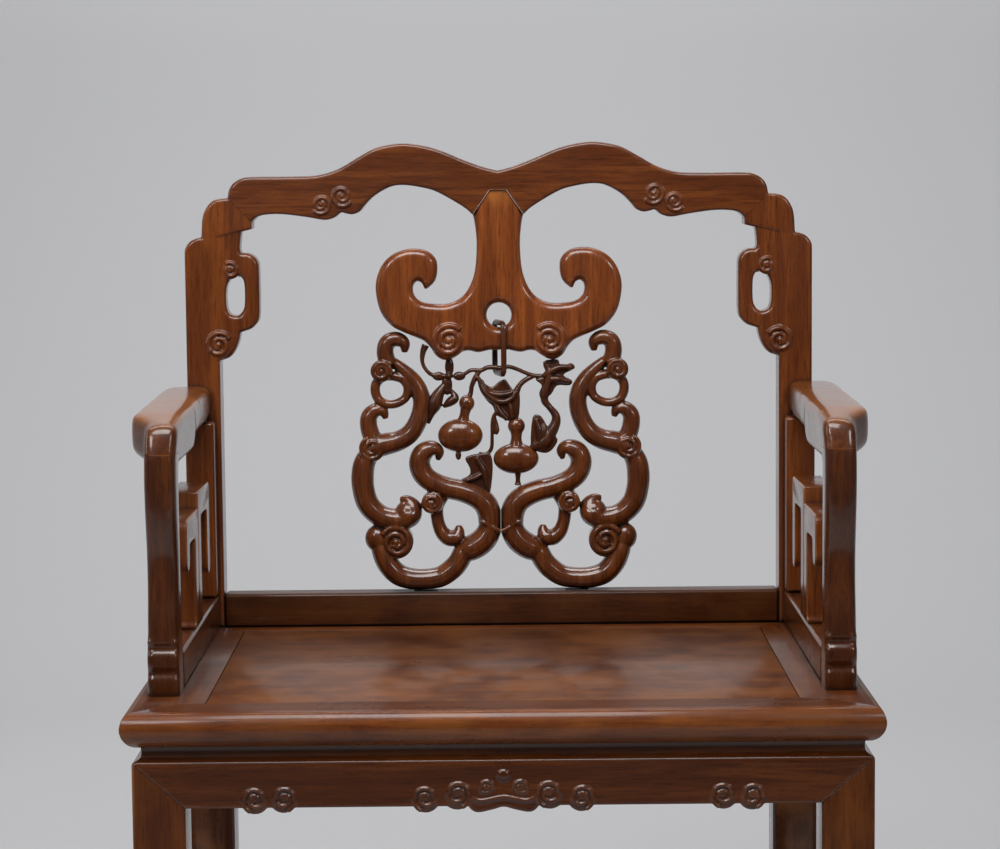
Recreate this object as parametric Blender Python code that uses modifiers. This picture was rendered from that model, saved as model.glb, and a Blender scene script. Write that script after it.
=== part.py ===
"""A Chinese hardwood armchair, built from its separate pieces with their real joints.

World axes: +X is to the right as seen from the front of the chair, +Y runs to the back, +Z is
up, and the origin is on the floor under the middle of the seat. All sizes are metres.
"""
import math

import bmesh
import bpy
from mathutils import Matrix, Vector

# Fits
FIT_GAP = 0.0003
CUT_OVERRUN = 0.004
SOFT_EDGE = 0.0022
TENON_GAP = 0.0004
SLIVER = 0.00002

# Seat
SEAT_WIDTH = 0.640
SEAT_DEPTH = 0.465
SEAT_HEIGHT = 0.500
SEAT_FRAME_THICK = 0.030
SEAT_FRONT_RAIL_WIDTH = 0.045
SEAT_RAIL_WIDTH = 0.068
SEAT_NOSE_SET = 0.009
SEAT_UNDER_SET = 0.011
PANEL_THICK = 0.014
PANEL_TONGUE_THICK = 0.006
PANEL_TONGUE_LENGTH = 0.008
BATTEN_WIDTH = 0.032
BATTEN_DEPTH = 0.016
BATTEN_TENON_LENGTH = 0.014
BATTEN_SPACING = 0.220
MITRE_TENON_THICK = 0.004
MITRE_TENON_WIDTH = 0.016
MITRE_TENON_LENGTH = 0.018
MITRE_TENON_SETBACK = 0.002
MITRE_TENON_DROP = 0.0145

# Legs, aprons and stretchers
LEG_SIZE = 0.0445
LEG_INSET = 0.0085
LEG_EDGE = 0.0022
HOOF_HEIGHT = 0.058
HOOF_REACH = 0.013
CORNER_TENON_SIZE = 0.014
CORNER_TENON_LENGTH = 0.0100
LEG_CORE_LENGTH = 0.039
APRON_THICK = 0.020
APRON_HEIGHT = 0.052
APRON_SHOULDER_HEIGHT = 0.039
WAIST_HEIGHT = 0.013
WAIST_SET = 0.0075
CLOUD_RADIUS = 0.0112
CLOUD_RELIEF = 0.0015
CLOUD_RISE = 0.0065
CLOUD_OUTER_OFFSET = 0.1975
CLOUD_INNER_OFFSET = 0.0545
CLOUD_PAIR_SPACING = 0.0245
CLOUD_CREST_WIDTH = 0.058
CLOUD_CREST_DROP = 0.0060
CLOUD_CREST_RISE = 0.0242
STRETCHER_HEIGHT = 0.030
STRETCHER_THICK = 0.020
STRETCHER_TOP = 0.118
STRETCHER_INSET = 0.008
STRETCHER_TENON_LENGTH = 0.016
SHORT_STRETCHER_TENON_LENGTH = 0.008
STRETCHER_TENON_THICK = 0.008
STRETCHER_TENON_HEIGHT = 0.018

# Back frame
BACK_HEIGHT = 0.4733
POST_WIDTH = 0.0325
POST_DEPTH = 0.035
BACK_RAIL_HEIGHT = 0.0330
BACK_RAIL_THICK = 0.026
BACK_RAIL_TENON_LENGTH = 0.010
BACK_RAIL_TENON_THICK = 0.009
BACK_RAIL_TENON_HEIGHT = 0.018
CREST_FALL = 0.0783
CREST_TENON_LENGTH = 0.014
CREST_TENON_THICK = 0.009
SHOULDER_HEIGHT = 0.058
BRACKET_WIDTH = 0.0395
BRACKET_CLEARANCE = 0.0245
BRACKET_THICK = 0.026
BRACKET_SET = 0.001
BRACKET_ROOT = 0.011
BRACKET_FOOT = 0.008
BRACKET_VOLUTE_RADIUS = 0.0128
CREST_VOLUTE_RADIUS = 0.0100
VOLUTE_RELIEF = 0.0012

# Splat
SPLAT_HALF_WIDTH = 0.148
SPLAT_THICK = 0.024
SPLAT_SET = 0.002
SPLAT_TAB_WIDTH = 0.022
SPLAT_TAB_LENGTH = 0.006
SPLAT_TAB_THICK = 0.008
STEM_TAB_WIDTH = 0.015
VOLUTE_BED = 0.0096
LOBE_BED = 0.0088
HEAD_HOLE_RADIUS = 0.0120
LINK_WIRE_RADIUS = 0.0030
LINK_LENGTH = 0.0560
LINK_DEPTH = 0.0335
LINK_TURN = 15
LINK_REST_GAP = 0.0014
LINK_CORNER_RADIUS = 0.006
VINE_DEPTH = 0.0085
LEAF_THICK = 0.0060
GOURD_DEPTH = 0.0240

# Arms
ARM_HEIGHT = 0.239
ARM_THICK = 0.033
ARM_EAR_DROP = 0.040
ARM_NECK_DROP = 0.044
ARM_HAUNCH_LENGTH = 0.163
ARM_NOSE_SET = 0.00425
ARM_FRONT_OVERHANG = 0.0180
ARM_REAR_OVERHANG = 0.0240
ARM_EAR_SET = 0.062
ARM_EAR_INSET = 0.0125
ARM_SLOPE_DROP = 0.005
ARM_TENON_DROP = 0.0158
ARM_FRONT_INNER_SET = 0.002
ARM_REAR_INNER_SET = 0.005
ARM_REAR_CORNER_RADIUS = 0.008
ARM_CHEEK_RADIUS = 0.020
SIDE_THICK = 0.028
STUMP_DEPTH = 0.034
STUMP_FRONT_SET = 0.0765
STUMP_WAVE = 0.010
STUMP_HEAD_DROP = 0.031
NOSE_BAND = 0.0075
STUMP_TENON_LENGTH = 0.014
STUMP_TENON_SIZE = 0.014
FLAT_TENON_THICK = 0.007
BASE_RAIL_TENON_LENGTH = 0.010
FRET_BAR = 0.024
FRET_TENON_LENGTH = 0.010
FRET_TENON_SIZE = 0.012
FRET_TENON_DEPTH = 0.006
FRET_CORNER_RADIUS = 0.009
FRET_INNER_RADIUS = 0.005
FRET_FOOT_RADIUS = 0.008
FRONT_HOOK_SPACE = 0.0425
FRONT_HOOK_TOP = 0.141
FRONT_HOOK_HANG = 0.047
REAR_HOOK_SPACE = 0.04975
REAR_HOOK_TOP = 0.155
REAR_HOOK_HANG = 0.087

# Places worked out from the sizes above
SEAT_HALF = SEAT_WIDTH / 2
SEAT_FRONT = -SEAT_DEPTH / 2
SEAT_REAR = SEAT_DEPTH / 2
FRAME_BOTTOM = SEAT_HEIGHT - SEAT_FRAME_THICK
LEG_CENTRE_X = SEAT_HALF - LEG_INSET - LEG_SIZE / 2
LEG_CENTRE_Y = SEAT_REAR - LEG_INSET - LEG_SIZE / 2
LEG_OUTER_X = LEG_CENTRE_X + LEG_SIZE / 2
LEG_OUTER_Y = LEG_CENTRE_Y + LEG_SIZE / 2
APRON_TOP = FRAME_BOTTOM - FIT_GAP
APRON_BOTTOM = APRON_TOP - APRON_HEIGHT
POST_OUTER = LEG_CENTRE_X + POST_WIDTH / 2
POST_INNER = POST_OUTER - POST_WIDTH
POST_FRONT = LEG_CENTRE_Y - POST_DEPTH / 2
POST_REAR = POST_FRONT + POST_DEPTH
SEATED = SEAT_HEIGHT + FIT_GAP
RAIL_TOP = SEATED + BACK_RAIL_HEIGHT
BACK_TOP = SEAT_HEIGHT + BACK_HEIGHT
CREST_BASE = BACK_TOP - CREST_FALL
SPLAT_FRONT = POST_FRONT + SPLAT_SET
SPLAT_MIDDLE = SPLAT_FRONT + SPLAT_THICK / 2
SIDE_OUTER = POST_OUTER
SIDE_INNER = SIDE_OUTER - SIDE_THICK
STUMP_FRONT = SEAT_FRONT + STUMP_FRONT_SET
STUMP_REAR = STUMP_FRONT + STUMP_DEPTH
ARM_TOP = SEAT_HEIGHT + ARM_HEIGHT
ARM_FRONT = STUMP_FRONT + ARM_NOSE_SET
EAR_FRONT = ARM_FRONT + ARM_EAR_SET
STILE_FRONT = POST_FRONT - FRET_BAR

# Steps and corners of the round forms
ARC_STEPS = 6
DISC_SIDES = 14
CARVING_SIDES = 8
VINE_SIDES = 6
CARVING_STEPS = 2
CARVING_ROUNDNESS = 0.75
PEBBLE_SIDES = 8
PEBBLE_RINGS = 6
GOURD_SIDES = 14
GOURD_RINGS = 8
SOFT_EDGE_ANGLE = 40
SHADING_ANGLE = 35
FLAT_ANGLE = 0.5

# Section of a seat rail's rounded edge: distance inwards as a share of SEAT_UNDER_SET below the
# middle and of SEAT_NOSE_SET above it, height as a share of SEAT_FRAME_THICK.
SEAT_UNDER_SHARES = ((1.00, 0.00), (0.45, 0.12), (0.10, 0.30), (0.00, 0.50))
SEAT_NOSE_SHARES = ((0.06, 0.70), (0.35, 0.90), (1.00, 1.00))

# Hollow of an apron's waist: distance inwards and height above the apron's flat face, both as
# shares of WAIST_SET.
WAIST_SHARES = ((0.00, -0.45), (0.30, -0.10), (0.85, 0.25), (1.00, 0.70))

# Crest of the front apron's clouds: x as a share of half CLOUD_CREST_WIDTH, height as a share of
# CLOUD_CREST_RISE above the apron's lower edge, or of CLOUD_CREST_DROP below it.
CLOUD_CREST_SHARES = (
    (0.00, 0.06), (0.35, -1.00), (0.70, -1.00), (0.90, 0.00), (1.00, 0.73), (0.80, 0.54),
    (0.25, 0.73), (0.00, 1.00),
)

# Height of the crest's base on the splat, whose heights are all shares of the same rise.
CREST_BASE_SHARE = 0.821
BACK_RISE = (CREST_BASE - RAIL_TOP) / CREST_BASE_SHARE

# Meeting of the two fret hooks, as a share of the way from the stump to the rear stile.
FRET_MEETING_SHARE = 0.4765

# Outlines and centre lines, as shares of the sizes that they follow.
# Crest rail: x as a share of the back's half width, height as a share of CREST_FALL above CREST_BASE.
CREST_TOP_SHARES = (
    (0.000, 0.655), (0.050, 0.705), (0.115, 0.800), (0.172, 0.895), (0.225, 0.960), (0.291, 1.000),
    (0.345, 0.984), (0.396, 0.932), (0.450, 0.817), (0.508, 0.690), (0.572, 0.618), (0.651, 0.604),
    (0.780, 0.604), (0.814, 0.588), (0.840, 0.530), (0.854, 0.453), (0.860, 0.345),
)
CREST_UNDER_SHARES = (
    (0.784, 0.042), (0.765, 0.112), (0.730, 0.138), (0.679, 0.136), (0.603, 0.096), (0.552, 0.062),
    (0.520, 0.092), (0.500, 0.152), (0.484, 0.140), (0.462, 0.128), (0.440, 0.163), (0.424, 0.236),
    (0.392, 0.358), (0.340, 0.467), (0.290, 0.483), (0.223, 0.437), (0.188, 0.386), (0.150, 0.304),
    (0.106, 0.197), (0.081, 0.109),
)
CREST_VOLUTE_SHARES = ((0.554, 0.262), (0.490, 0.350))

# Post shoulder: x inwards from the outer face as a share of the way to the crest's end, height
# above the shoulder's foot as a share of SHOULDER_HEIGHT.
SHOULDER_SHARES = (
    (0.000, 0.000), (0.017, 0.080), (0.112, 0.180), (0.251, 0.240), (0.389, 0.258), (0.407, 0.500),
    (0.441, 0.640), (0.528, 0.770), (0.657, 0.865), (0.805, 0.900), (1.000, 0.912),
)

# Bracket: x inwards from the post's inner face as a share of BRACKET_WIDTH, height below the
# mitre's inner end as a share of the bracket's height, with its foot at the last share.
BRACKET_SHARES = (
    (0.600, 0.060), (0.560, 0.140), (0.550, 0.260), (0.720, 0.272), (0.880, 0.300), (0.975, 0.350),
    (1.000, 0.430), (1.000, 0.790), (0.960, 0.880), (0.800, 0.940), (0.520, 0.975), (0.480, 1.050),
    (0.390, 1.130), (0.240, 1.195), (0.000, 1.225),
)
BRACKET_SLOT_SHARES = (
    (0.262, 0.517), (0.192, 0.581), (0.177, 0.673), (0.197, 0.765), (0.272, 0.811), (0.442, 0.825),
    (0.560, 0.793), (0.629, 0.728), (0.633, 0.563), (0.590, 0.499), (0.492, 0.471), (0.362, 0.480),
)
BRACKET_VOLUTE_SHARE = (-0.060, 1.065)

# Splat head: x as a share of SPLAT_HALF_WIDTH, height as a share of BACK_RISE above the back rail.
HEAD_SHARES = (
    (0.168, 0.845), (0.152, 0.814), (0.144, 0.774), (0.155, 0.721), (0.190, 0.684), (0.245, 0.659),
    (0.328, 0.645), (0.425, 0.644), (0.508, 0.649), (0.556, 0.663), (0.565, 0.682), (0.540, 0.694),
    (0.508, 0.690), (0.487, 0.677), (0.455, 0.682), (0.419, 0.695), (0.403, 0.716), (0.410, 0.742),
    (0.460, 0.760), (0.535, 0.767), (0.620, 0.765), (0.710, 0.752), (0.775, 0.728), (0.812, 0.692),
    (0.806, 0.655), (0.775, 0.622), (0.712, 0.596), (0.642, 0.583), (0.560, 0.571), (0.495, 0.561),
    (0.455, 0.547), (0.418, 0.528), (0.361, 0.518), (0.300, 0.523), (0.245, 0.536), (0.200, 0.539),
    (0.139, 0.535), (0.067, 0.540),
)
HEAD_TIP_SHARE = (0.054, 0.895)
HEAD_HOLE_SHARE = 0.618
HEAD_VOLUTE_SHARE = (0.334, 0.563, 0.104)

# Carved scrolls: x, height and half width. Half width is a share of SPLAT_HALF_WIDTH too.
TOP_HOOK_SHARES = (
    (0.628, 0.536, 0.020), (0.630, 0.556, 0.042), (0.684, 0.566, 0.051), (0.742, 0.558, 0.056),
    (0.757, 0.535, 0.058), (0.735, 0.508, 0.060),
)
SWEEP_SHARES = (
    (0.702, 0.515, 0.033), (0.637, 0.497, 0.043), (0.572, 0.474, 0.053), (0.530, 0.447, 0.059),
    (0.518, 0.418, 0.061), (0.543, 0.384, 0.063), (0.597, 0.355, 0.065), (0.677, 0.338, 0.069),
    (0.764, 0.331, 0.076), (0.844, 0.322, 0.076),
)
EYELET_CENTRE_SHARE = (0.716, 0.453)
EYELET_RADIUS_SHARES = (0.108, 0.0315)
EYELET_WIRE_SHARE = 0.031
SIDE_HOOK_SHARES = (
    (0.758, 0.388, 0.018), (0.776, 0.404, 0.038), (0.826, 0.407, 0.050), (0.870, 0.392, 0.057),
    (0.870, 0.367, 0.060), (0.846, 0.342, 0.062),
)
GREAT_C_SHARES = (
    (0.864, 0.313, 0.066), (0.905, 0.288, 0.074), (0.918, 0.260, 0.077), (0.914, 0.231, 0.076),
    (0.888, 0.199, 0.076), (0.830, 0.176, 0.075), (0.760, 0.164, 0.074), (0.669, 0.161, 0.076),
    (0.609, 0.173, 0.085), (0.594, 0.191, 0.062), (0.627, 0.205, 0.036), (0.672, 0.207, 0.015),
)
LOWER_C_SHARES = (
    (0.790, 0.090, 0.070), (0.756, 0.060, 0.074), (0.690, 0.037, 0.074), (0.605, 0.027, 0.072),
    (0.505, 0.0257, 0.070), (0.405, 0.031, 0.071), (0.325, 0.049, 0.073), (0.268, 0.072, 0.075),
    (0.205, 0.090, 0.076), (0.140, 0.106, 0.078), (0.075, 0.127, 0.078), (0.010, 0.146, 0.074),
)
HEART_SHARES = (
    (0.417, 0.294, 0.015), (0.408, 0.311, 0.036), (0.450, 0.320, 0.054), (0.512, 0.311, 0.065),
    (0.538, 0.289, 0.068), (0.517, 0.264, 0.068), (0.458, 0.246, 0.066), (0.360, 0.232, 0.066),
    (0.250, 0.224, 0.066), (0.160, 0.210, 0.066), (0.092, 0.188, 0.070), (0.045, 0.168, 0.075),
    (0.010, 0.152, 0.077),
)
HEART_LEG_SHARES = (
    (0.352, 0.214, 0.050), (0.402, 0.187, 0.056), (0.414, 0.158, 0.056), (0.390, 0.133, 0.056),
    (0.330, 0.119, 0.053), (0.279, 0.126, 0.035), (0.285, 0.144, 0.015),
)
VOLUTE_SHARES = (
    (0.781, 0.496, 0.066), (0.850, 0.323, 0.078), (0.698, 0.113, 0.109), (0.443, 0.200, 0.066),
)
SIDE_LOBE_SHARE = (0.826, 0.119, 0.086)

# Web that ties the great curl to the volute under it.
WEB_SHARES = ((0.735, 0.166, 0.055), (0.698, 0.113, 0.055))

# Vine: x as a share of SPLAT_HALF_WIDTH with its sign, since the vine isn't the same on both sides.
BRANCH_SHARES = (
    (-0.300, 0.482, 0.016), (-0.237, 0.486, 0.013), (-0.186, 0.495, 0.014), (-0.125, 0.494, 0.015),
    (-0.084, 0.500, 0.016), (-0.039, 0.501, 0.017), (0.007, 0.499, 0.017), (0.058, 0.502, 0.015),
    (0.118, 0.496, 0.014), (0.179, 0.487, 0.014), (0.240, 0.481, 0.015), (0.320, 0.480, 0.016),
)
TWIG_SHARES = (
    ((-0.487, 0.554, 0.026), (-0.506, 0.536, 0.020), (-0.511, 0.515, 0.014), (-0.490, 0.498, 0.014),
     (-0.445, 0.485, 0.014), (-0.360, 0.482, 0.018)),
    ((-0.130, 0.493, 0.015), (-0.161, 0.478, 0.018), (-0.185, 0.459, 0.016), (-0.191, 0.445, 0.016),
     (-0.208, 0.431, 0.022)),
    ((-0.012, 0.402, 0.016), (-0.039, 0.392, 0.014), (-0.052, 0.376, 0.013), (-0.053, 0.348, 0.013),
     (-0.058, 0.320, 0.014), (-0.091, 0.305, 0.014), (-0.142, 0.306, 0.014)),
    ((-0.039, 0.391, 0.012), (-0.026, 0.376, 0.013), (-0.022, 0.360, 0.020), (-0.026, 0.350, 0.008)),
    ((0.235, 0.482, 0.015), (0.168, 0.471, 0.018), (0.129, 0.458, 0.019), (0.100, 0.437, 0.030)),
    ((0.305, 0.447, 0.030), (0.297, 0.426, 0.026), (0.331, 0.410, 0.022), (0.369, 0.393, 0.028),
     (0.369, 0.374, 0.034), (0.329, 0.350, 0.044), (0.276, 0.329, 0.050), (0.200, 0.318, 0.020)),
    ((0.116, 0.270, 0.026), (0.116, 0.249, 0.018), (0.115, 0.236, 0.024)),
    ((-0.476, 0.376, 0.008), (-0.461, 0.398, 0.030), (-0.437, 0.418, 0.050), (-0.411, 0.439, 0.042),
     (-0.370, 0.462, 0.020)),
    ((-0.376, 0.413, 0.010), (-0.336, 0.423, 0.030), (-0.300, 0.433, 0.032), (-0.314, 0.446, 0.016),
     (-0.350, 0.456, 0.014)),
)
PETAL_SHARES = (
    (-0.332, 0.500, 0.030, 0.066), (-0.404, 0.482, 0.044, 0.038), (-0.267, 0.482, 0.044, 0.038),
    (-0.349, 0.462, 0.040, 0.072), (-0.336, 0.482, 0.044, 0.040),
)
LEAF_SHARES = (
    ((-0.146, 0.484), (-0.136, 0.455), (-0.087, 0.427), (-0.047, 0.414), (-0.022, 0.394),
     (0.064, 0.376), (0.120, 0.376), (0.135, 0.430), (0.122, 0.447), (0.097, 0.447), (0.062, 0.463),
     (0.037, 0.474), (-0.004, 0.469), (-0.050, 0.457), (-0.096, 0.465)),
    ((-0.234, 0.297), (-0.204, 0.276), (-0.207, 0.260), (-0.266, 0.248), (-0.195, 0.236),
     (-0.135, 0.222), (-0.079, 0.214), (-0.058, 0.244), (-0.051, 0.286), (-0.073, 0.309),
     (-0.132, 0.312), (-0.193, 0.308)),
    ((0.289, 0.512), (0.388, 0.517), (0.403, 0.501), (0.474, 0.509), (0.499, 0.497), (0.422, 0.483),
     (0.481, 0.470), (0.462, 0.459), (0.381, 0.459), (0.340, 0.439), (0.279, 0.428), (0.262, 0.443),
     (0.280, 0.460), (0.239, 0.473), (0.309, 0.482)),
    ((0.203, 0.322), (0.217, 0.388), (0.267, 0.392), (0.298, 0.378), (0.337, 0.353), (0.383, 0.339),
     (0.352, 0.318), (0.306, 0.308), (0.245, 0.312)),
)
# Gourds: middle, half width and half height of the lower bulb, then of the upper bulb and its neck.
GOURD_SHARES = (
    ((-0.264, 0.349), (0.150, 0.110), (-0.219, 0.422), (0.052, 0.056), 0.032),
    ((0.105, 0.296), (0.150, 0.103), (0.109, 0.370), (0.058, 0.058), 0.036),
)

# Foot of a leg: height as a share of HOOF_HEIGHT, inward swell as a share of HOOF_REACH.
HOOF_SHARES = ((0.00, 0.55), (0.16, 0.92), (0.40, 1.00), (0.62, 0.62), (0.82, 0.18), (1.00, 0.00))

# Curve of the haunch under an arm, as shares of its dip.
HAUNCH_SHARES = (0.15, 0.45, 0.95)

# Front profile of a stump: height as a share of the stump's own, bulge as a share of STUMP_WAVE.
STUMP_SHARES = (
    (0.000, -0.05), (0.020, 0.28), (0.075, 0.30), (0.096, -0.10), (0.115, 0.26), (0.175, 0.24),
    (0.196, -0.20), (0.225, 0.10), (0.310, 0.02), (0.400, -0.35), (0.480, -0.55), (0.580, -0.45),
    (0.700, 0.05), (0.800, 0.36), (0.880, 0.44), (0.950, 0.36), (1.000, 0.22),
)
# Neck of an arm above its stump: height above the stump's head as a share of the way to the
# nosing, bulge as for the stump.
NECK_SHARES = ((0.000, 0.22), (0.300, 0.02), (0.600, -0.20), (0.850, -0.40), (1.000, -0.50))

COLLECTION_NAME = "oriental_armchair"
LEFT = -1
RIGHT = 1
SIDE_NAMES = {LEFT: "left", RIGHT: "right"}
FRONT = -1
REAR = 1
END_NAMES = {FRONT: "front", REAR: "back"}


def clear_scene():
    """Removes what the new scene came with."""
    for item in list(bpy.data.objects):
        bpy.data.objects.remove(item, do_unlink=True)


def new_collection(name):
    """A collection under the scene's own."""
    collection = bpy.data.collections.new(name)
    bpy.context.scene.collection.children.link(collection)
    return collection


def wood(name, colour, roughness):
    """A Principled material for one kind of timber surface."""
    material = bpy.data.materials.new(name)
    material.use_nodes = True
    shader = material.node_tree.nodes["Principled BSDF"]
    shader.inputs["Base Color"].default_value = (*colour, 1.0)
    shader.inputs["Roughness"].default_value = roughness
    shader.inputs["Metallic"].default_value = 0.0
    return material


def mesh_object(name, shape):
    """Puts a bmesh into a new object in the chair's collection."""
    mesh = bpy.data.meshes.new(name)
    shape.to_mesh(mesh)
    shape.free()
    item = bpy.data.objects.new(name, mesh)
    PARTS.objects.link(item)
    return item


def box(name, low, high):
    """A block between two corners."""
    shape = bmesh.new()
    bmesh.ops.create_cube(shape, size=1.0)
    size = [b - a for a, b in zip(low, high)]
    middle = [(a + b) / 2 for a, b in zip(low, high)]
    bmesh.ops.scale(shape, vec=size, verts=shape.verts)
    bmesh.ops.translate(shape, vec=middle, verts=shape.verts)
    return mesh_object(name, shape)


def evaluated_mesh(item):
    """The object's mesh with its modifiers worked out."""
    bpy.context.view_layer.update()
    graph = bpy.context.evaluated_depsgraph_get()
    return bpy.data.meshes.new_from_object(item.evaluated_get(graph))


def settle(item):
    """Applies every modifier of an object, keeping its name."""
    mesh = evaluated_mesh(item)
    item.modifiers.clear()
    item.data = mesh
    mesh.name = item.name
    return item


def combine(item, tools, operation):
    """Joins, cuts or intersects an object with others, which are used up."""
    for tool in tools:
        step = item.modifiers.new(operation.title(), "BOOLEAN")
        step.operation = operation
        step.solver = "EXACT"
        step.object = tool
        settle(item)
        bpy.data.objects.remove(tool, do_unlink=True)
        tidy(item)
    return item


def tidy(item):
    """Closes up the hair-thin slivers that a cut can leave."""
    shape = bmesh.new()
    shape.from_mesh(item.data)
    bmesh.ops.remove_doubles(shape, verts=shape.verts, dist=SLIVER)
    bmesh.ops.dissolve_degenerate(shape, edges=shape.edges, dist=SLIVER)
    shape.to_mesh(item.data)
    shape.free()


def join(item, *tools):
    return combine(item, tools, "UNION")


def cut(item, *tools):
    return combine(item, tools, "DIFFERENCE")


def keep_common(item, *tools):
    return combine(item, tools, "INTERSECT")


def soften(item, width=SOFT_EDGE, segments=1):
    """Takes the sharp edges off a piece."""
    bevel = item.modifiers.new("Soft edges", "BEVEL")
    bevel.width = width
    bevel.segments = segments
    bevel.limit_method = "ANGLE"
    bevel.angle_limit = math.radians(SOFT_EDGE_ANGLE)
    return settle(item)


def finish(item, material):
    """Gives a piece its timber and smooth shading with crisp arrises."""
    item.data.materials.clear()
    item.data.materials.append(material)
    item.data.shade_smooth()
    item.data.set_sharp_from_angle(angle=math.radians(SHADING_ANGLE))
    return item


def board(name, outlines, thickness, matrix, edge=0.0):
    """A flat piece cut from board: a filled outline, with holes, given its thickness and edges.

    The outline lies in the matrix's own X and Y, and the thickness is centred on it.
    """
    curve = bpy.data.curves.new(name, "CURVE")
    curve.dimensions = "2D"
    curve.fill_mode = "BOTH"
    curve.extrude = thickness / 2 - edge
    curve.bevel_depth = edge
    curve.bevel_resolution = 0
    curve.offset = -edge
    for outline in outlines:
        spline = curve.splines.new("POLY")
        spline.points.add(len(outline) - 1)
        for point, (across, up) in zip(spline.points, outline):
            point.co = (across, up, 0.0, 1.0)
        spline.use_cyclic_u = True
    item = bpy.data.objects.new(name, curve)
    PARTS.objects.link(item)
    item.matrix_world = matrix
    mesh = evaluated_mesh(item)
    bpy.data.objects.remove(item, do_unlink=True)
    shape = bmesh.new()
    shape.from_mesh(mesh)
    shape.transform(matrix)
    bmesh.ops.remove_doubles(shape, verts=shape.verts, dist=FIT_GAP / 10)
    bmesh.ops.dissolve_limit(shape, angle_limit=math.radians(FLAT_ANGLE), verts=shape.verts,
                             edges=shape.edges)
    bmesh.ops.recalc_face_normals(shape, faces=shape.faces)
    return mesh_object(name, shape)


def facing_front(middle_y):
    """Board axes: X across the chair, Y up, thickness along the depth."""
    return Matrix.Translation((0, middle_y, 0)) @ Matrix.Rotation(math.radians(90), 4, "X")


def facing_side(middle_x):
    """Board axes: X to the back of the chair, Y up, thickness across the chair."""
    turn = Matrix(((0, 0, 1, 0), (1, 0, 0, 0), (0, 1, 0, 0), (0, 0, 0, 1)))
    return Matrix.Translation((middle_x, 0, 0)) @ turn


def facing_up(middle_z):
    """Board axes: X across the chair, Y to the back, thickness upwards."""
    return Matrix.Translation((0, 0, middle_z))


def smooth_line(points, steps, closed=False):
    """A Catmull-Rom curve through points of any number of values."""
    count = len(points)
    spans = count if closed else count - 1
    line = []
    for span in range(spans):
        if closed:
            before, start, end, after = (points[(span + k) % count] for k in (-1, 0, 1, 2))
        else:
            start, end = points[span], points[span + 1]
            before = points[max(span - 1, 0)]
            after = points[min(span + 2, count - 1)]
        for step in range(steps):
            t = step / steps
            line.append(tuple(
                0.5 * (2 * b + (c - a) * t + (2 * a - 5 * b + 4 * c - d) * t ** 2
                       + (3 * b - a - 3 * c + d) * t ** 3)
                for a, b, c, d in zip(before, start, end, after)
            ))
    if not closed:
        line.append(tuple(points[-1]))
    return line


def round_corner(corner, radius, start, end):
    """Points of an arc about a corner's centre, from one angle to another in degrees."""
    points = []
    for step in range(ARC_STEPS + 1):
        angle = math.radians(start + (end - start) * step / ARC_STEPS)
        points.append((corner[0] + radius * math.cos(angle), corner[1] + radius * math.sin(angle)))
    return points


def mirrored(outline):
    """A left-hand copy of a right-hand outline."""
    return [(-x, z) for x, z in reversed(outline)]


def sided(side, low_x, high_x):
    """Orders two right-hand distances as left-to-right ends on the given side."""
    return (low_x, high_x) if side == RIGHT else (-high_x, -low_x)


def carved_band(name, stations, half_depth, middle_y, closed=False, sides=CARVING_SIDES):
    """A rounded, tapering band of carving along stations of x, z and half width.

    A loft made by hand, since its section narrows and thins along the way. On the inside of a
    tight bend the half width is held within the bend's own radius, so the band never folds.
    """
    count = len(stations)
    full = max(station[2] for station in stations)
    shape = bmesh.new()
    rings = []
    for index, (x, z, half_width) in enumerate(stations):
        before = stations[(index - 1) % count if closed else max(index - 1, 0)]
        after = stations[(index + 1) % count if closed else min(index + 1, count - 1)]
        along = Vector((after[0] - before[0], after[1] - before[1])).normalized()
        across = Vector((-along.y, along.x))
        first = Vector((x - before[0], z - before[1]))
        second = Vector((after[0] - x, after[1] - z))
        turn = first.cross(second)
        length = (first.length + second.length) / 2
        bend = abs(turn) / max(first.length * second.length * length, 1e-12)
        inner_limit = CARVING_ROUNDNESS / bend if bend > 0 else half_width
        depth = half_depth * min(1.0, (half_width / full) ** 0.5)
        ring = []
        for side in range(sides):
            angle = 2 * math.pi * side / sides
            sideways = math.copysign(abs(math.cos(angle)) ** CARVING_ROUNDNESS, math.cos(angle))
            forward = math.copysign(abs(math.sin(angle)) ** CARVING_ROUNDNESS, math.sin(angle))
            reach = half_width
            if sideways * turn > 0:
                reach = min(half_width, inner_limit)
            place = Vector((x, z)) + across * (sideways * reach)
            ring.append(shape.verts.new((place.x, middle_y + depth * forward, place.y)))
        rings.append(ring)
    pairs = list(zip(rings, rings[1:]))
    if closed:
        pairs.append((rings[-1], rings[0]))
    for ring, following in pairs:
        for side in range(sides):
            other = (side + 1) % sides
            shape.faces.new((ring[side], ring[other], following[other], following[side]))
    if not closed:
        shape.faces.new(rings[0])
        shape.faces.new(list(reversed(rings[-1])))
    bmesh.ops.recalc_face_normals(shape, faces=shape.faces)
    return mesh_object(name, shape)


def disc(name, centre_x, centre_z, radius, front_y, back_y):
    """A round boss standing along the depth."""
    shape = bmesh.new()
    depth = back_y - front_y
    place = Matrix.Translation((centre_x, (front_y + back_y) / 2, centre_z))
    turn = Matrix.Rotation(math.radians(90), 4, "X")
    bmesh.ops.create_cone(shape, cap_ends=True, segments=DISC_SIDES, radius1=radius,
                          radius2=radius, depth=depth, matrix=place @ turn)
    return mesh_object(name, shape)


def pebble(name, centre, radii, segments=PEBBLE_SIDES, rings=PEBBLE_RINGS):
    """A rounded lump, stretched to its three radii."""
    shape = bmesh.new()
    bmesh.ops.create_uvsphere(shape, u_segments=segments, v_segments=rings, radius=1.0)
    bmesh.ops.scale(shape, vec=radii, verts=shape.verts)
    bmesh.ops.translate(shape, vec=centre, verts=shape.verts)
    return mesh_object(name, shape)


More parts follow.
